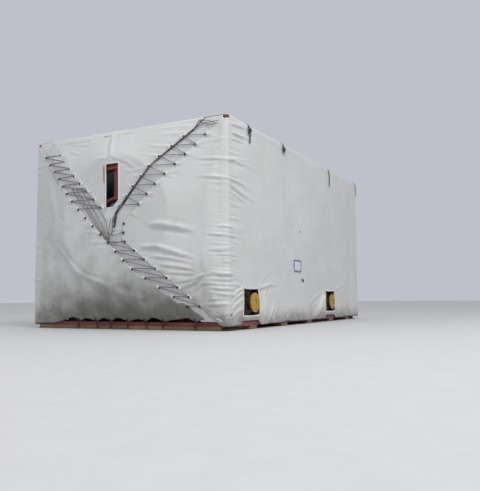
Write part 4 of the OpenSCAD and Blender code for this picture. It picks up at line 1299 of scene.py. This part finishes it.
def roof_strap(x, drop, knot_at, raised=0.030):
    """A strap over the roof. Drop is how far its ends come down, knot_at how far down it is knotted."""
    x = x - HALF_L
    height, edge = ROOF_Z + CLEAR + raised, HALF_W + CLEAR + 0.006
    ys = np.linspace(-HALF_W + 0.05, HALF_W - 0.05, 40)
    over = [(x, y, height - 0.010 * (1 - (y / HALF_W) ** 4)) for y in ys]
    down = [(x, edge + 0.004, ROOF_Z + 0.004), (x + 0.004, edge + 0.010, ROOF_Z - 0.05)]
    down += [(x + 0.05 * t + 0.015 * math.sin(5 * t), edge + 0.012 + 0.012 * math.sin(3 * t),
              ROOF_Z - 0.05 - t * (drop - 0.05)) for t in np.linspace(0.1, 1, 8)]
    path = [(a, -b, c) for a, b, c in reversed(down)] + over + down
    found = [ribbon_mesh(path, (1, 0, 0), 0.058, 0.006)]
    z = ROOF_Z - knot_at
    for side in (-1, 1) if knot_at else ():
        y = side * (edge + 0.026)
        for lean in (-1, 1):
            path = [(x + a, y + side * b, z + c * lean) for a, b, c in (
                (-0.10, 0, 0.10), (-0.03, 0.02, 0.02), (0.03, 0.02, -0.02), (0.11, 0, -0.11))]
            found.append(ribbon_mesh(path, (0, 0.2 * lean, 1), 0.05, 0.008, 0.02))
        loop = []
        for t in np.linspace(0, 2 * math.pi, 12):
            off = 0.016 + 0.012 * math.sin(2 * t)
            loop.append((x + 0.045 * math.cos(t), y + side * off, z + 0.05 * math.sin(t)))
        found.append(ribbon_mesh(loop, (0, side, 0), 0.04, 0.01, 0.02))
    return found


STRAPS = ((1.20, 0.50, 0.16), (3.55, 0.26, 0.18), (7.73, 0.62, 0), (11.03, 0.50, 0, 0.046))
parts = [part for facts in STRAPS for part in roof_strap(*facts)]
loose_piece("roof_straps", parts, strap, "webbing", "roof_ties")

# %% [markdown]
# ## Small parts on the cloth
# A pouch for papers, blank, with a coloured rim. The slot's edge is bound with tape, and one strip of it has
# yellowed. These are thin, so they are swept along the surface of the cloth and not set on it as plates.

# %% Tape along a line of the flat cloth
def tape(points, flap, width, thickness, closed=False, lift=0.002, step=0.04):
    """A strip of tape that follows the cloth along flat points."""
    line = smoothed(points + ([points[0]] if closed else []), step)
    run = unit(np.gradient(line, axis=0))
    across = np.stack([-run[:, 1], run[:, 0]], -1) * width / 2
    rows = []
    for shift, rise in ((-1, 0), (-1, 1), (0, 1.5), (1, 1), (1, 0)):
        rows.append(on_cloth(flap, *(line + across * shift).T, lift + thickness * rise)[0])
    return np.stack(rows, 1).reshape(-1, 3), tube_faces(len(line), len(rows))


# Reinforcing patches beside the eyelets in the whiter binding cloth; their whiteness is also a painted
# highlight for the lit puckers there.
parts = []
for flap, row, levels, inward in (
        ("left", LEFT_ROW, range(3, 21), 0.02), ("top", TOP_LEFT_ROW, UPPER, -0.02),
        ("top", TOP_RIGHT_ROW, UPPER, 0.02), ("right", RIGHT_HIGH_ROW, UPPER, -0.02),
        ("right", RIGHT_LOW_ROW, range(3, 9), -0.02)):
    for z in map(level_z, levels):
        ends = [(u_of(float(row_y(row, z + d)) + inward, FLAPS[flap][0]), z + d) for d in (-0.05, 0.05)]
        parts.append(tape(ends, flap, 0.10, 0.003, False, 0.0045 if flap == "top" else 0.001, 0.034))
loose_piece("eyelet_highlight_patches", parts, binding, "cover_cloth")
loose_piece("slot_binding", [tape(slot_loop(0.012), "top", 0.05, 0.004, True, 0.004)], binding, "cover_cloth")
strip = [(u_of(y, -1), z) for y, z in ((0.335, 4.44), (0.325, 4.2), (0.32, 3.98))]
loose_piece("slot_old_tape", [tape(strip, "top", 0.055, 0.003, False, 0.006)], yellow_binding, "cover_cloth")
seam_lines = [[(x, low), (x, 2.8), (x, ROOF_Z + 0.1)] for x, low in ((3.72, 0.2), (7.66, 1.095))]
for name, lines, width, thickness, closed in (
        ("window_bindings", window_holes, 0.05, 0.003, True), ("seams", seam_lines, 0.045, 0.0012, False)):
    for side in ("right", "left"):
        parts = [tape(line, side + "_side", width, thickness, closed) for line in lines]
        loose_piece(name + "_" + side, parts, binding, "cover_cloth")

# %% Pouch for papers
pouch_low, pouch_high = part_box("document_pouch")


def pouch_panel(inset, lift, bulge, n=14, m=10):
    """A soft panel of the pouch, a little full in its middle."""
    u = np.linspace(pouch_low.x + inset, pouch_high.x - inset, n) + HALF_L
    z = np.linspace(pouch_low.z + inset, pouch_high.z - inset, m)
    u, z = (grid.ravel() for grid in np.meshgrid(u, z))
    s, t = ((v - v[0]) / (v[-1] - v[0]) * 2 - 1 for v in (u, z))
    full = bulge * ((1 - s ** 4) * (1 - t ** 4)) * (1 + 0.25 * smooth_noise(u * 6, z * 6, 1.0, 71))
    front, back = (on_cloth("right_side", u, z, lift + more)[0] for more in (full, -0.004))
    k, faces = n * m, []
    for a in (j * n + i for j in range(m - 1) for i in range(n - 1)):
        faces += [(a, a + 1, a + n + 1, a + n), (a + k + n, a + k + n + 1, a + k + 1, a + k)]
    rim = list(range(n)) + [j * n + n - 1 for j in range(1, m)]
    rim += [(m - 1) * n + i for i in range(n - 2, -1, -1)] + [j * n for j in range(m - 2, 0, -1)]
    faces += [(b, a, a + k, b + k) for a, b in zip(rim, rim[1:] + rim[:1])]
    return np.concatenate([front, back]), faces


loose_piece("pouch_panel", [pouch_panel(0.012, 0.006, 0.012)], film, "pouch_plastic", "document_pouch")
left, right = pouch_low.x + HALF_L + 0.025, pouch_high.x + HALF_L - 0.025
low, high = pouch_low.z + 0.025, pouch_high.z - 0.025
rim_line = [(left, low), (right, low), (right, high), (left, high)]
loose_piece("pouch_rim", [tape(rim_line, "right_side", 0.05, 0.006, True, 0.008)], rim_blue, "pouch_plastic")

# %% Loose eyelets and a rope hook on the long side
parts = []
for u, z in ((4.83, 2.93), (0.16, 0.40), (5.02, 1.40)):
    (place,), (out,) = on_cloth("right_side", u, z)
    parts += [ring_mesh(place, out, 0.028, 0.009), disc_mesh(place, out, 0.026)]
loose_piece("side_eyelets", parts, eyelet_metal, "casing_steel")
(place,), (out,) = surface(np.array([4.96]), np.array([1.36]), -1)
hook = [place + out * clear + (along, 0, up) for clear, along, up in (
    (0.01, -0.10, 0.07), (0.035, -0.03, 0.0), (0.03, 0.05, -0.03), (0.02, 0.09, 0.02), (0.01, 0.07, 0.06))]
loose_piece("side_rope_hook", [rope_mesh(hook, 0.024, 0.012)], dark_rope_and_shade, "lacing_rope")

# %% [markdown]
# ## Bolts
# Through the slot and the windows the machine's ring and the trunnions' discs can be seen. Real ones are
# bolted up, and a row of hexagon heads gives the eye their size.

# %% Bolt maker
def bolt_mesh(place, out, size):
    """A hexagon head on a washer, with its upper corners turned off."""
    out = np.array(out, float)
    side, third = axes(out, (0.21, 0.12, 0.97))
    parts = []
    washer, head = ((0.0, 0.95), (0.14, 0.95)), ((0.14, 0.62), (0.62, 0.62), (0.72, 0.62 * 0.82))
    for sides, levels in ((18, washer), (6, head)):
        rings = [circle(place + out * h * size, side, third, size * r, sides) for h, r in levels]
        parts.append((np.concatenate(rings), tube_faces(len(rings), sides)))
    return joined(parts)


def bolt_circle(place, out, count, radius, size):
    """Bolts round a place. The first lies half a pitch from the top, or from the x axis on a side's face."""
    found = []
    for a in 2 * math.pi * (np.arange(count) + 0.5) / count:
        arm = (0, math.sin(a), math.cos(a)) if out[0] else (math.cos(a), 0, math.sin(a))
        found.append(bolt_mesh(place + radius * np.array(arm), out, size))
    return found


ring_middle = np.array((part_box("intake_ring")[0].x, 0, SHAFT_Z))
RING_BOLTS, RING_CIRCLE, DISC_BOLTS, DISC_CIRCLE = 48, 1.405, 8, 0.20
parts = bolt_circle(ring_middle, (-1, 0, 0), RING_BOLTS, RING_CIRCLE, 0.011)
loose_piece("ring_bolts", parts, slots["machine_paint"], "machine_paint", smooth=False)
parts = []
for name in ("trunnion_front_right", "trunnion_rear_right", "trunnion_front_left", "trunnion_rear_left"):
    low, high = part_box(name)
    side = -1 if low.y < 0 else 1
    middle = np.array(((low.x + high.x) / 2, low.y if side < 0 else high.y, (low.z + high.z) / 2))
    parts += bolt_circle(middle, (0, side, 0), DISC_BOLTS, DISC_CIRCLE, 0.020)
loose_piece("trunnion_bolts", parts, slots["trunnion_paint"], "trunnion_paint", smooth=False)

# %% [markdown]
# ## Cloth facts, floor and sizes
# Each sheet's cut size and area are printed, measured on its flat outline.

def cut_size(flat):
    """Length and width of the smallest rectangle that a flat piece can be cut from."""
    best = None
    for degrees in range(0, 90, 2):
        a = math.radians(degrees)
        turned = flat @ np.array([[math.cos(a), -math.sin(a)], [math.sin(a), math.cos(a)]])
        size = turned.max(0) - turned.min(0)
        if best is None or size[0] * size[1] < best[0] * best[1]:
            best = size
    return best


def declare(piece, flat, triangles):
    size, area = cut_size(flat), flat_area(flat, triangles)
    print(piece.name, "cut to", [round(float(s), 2) for s in size], "area", round(area, 2))


declare(right_piece, right_flat, right_tris)
declare(left_piece, left_flat, left_tris)
declare(top_piece, top_flat, top_tris)
declare(back_low, low_flat, low_tris)
declare(back_left, bl_flat, bl_tris)
declare(back_right, br_flat, br_tris)
declare(roof_piece, roof_flat, roof_tris)
declare(far_piece, far_flat, far_tris)

# %% Floor
floor_mesh = bpy.data.meshes.new("floor")
FLOOR_REACH, FLOOR_Z = 220, -0.003
corners = [(x * FLOOR_REACH, y * FLOOR_REACH, FLOOR_Z) for x, y in ((-1, -1), (1, -1), (1, 1), (-1, 1))]
floor_mesh.from_pydata(corners, [], [(0, 1, 2, 3)])
floor_mesh.materials.append(finish_of("pale_floor", pale_floor))
floor = bpy.data.objects.new("floor", floor_mesh)
scene.collection.objects.link(floor)
print("floor at", FLOOR_Z)
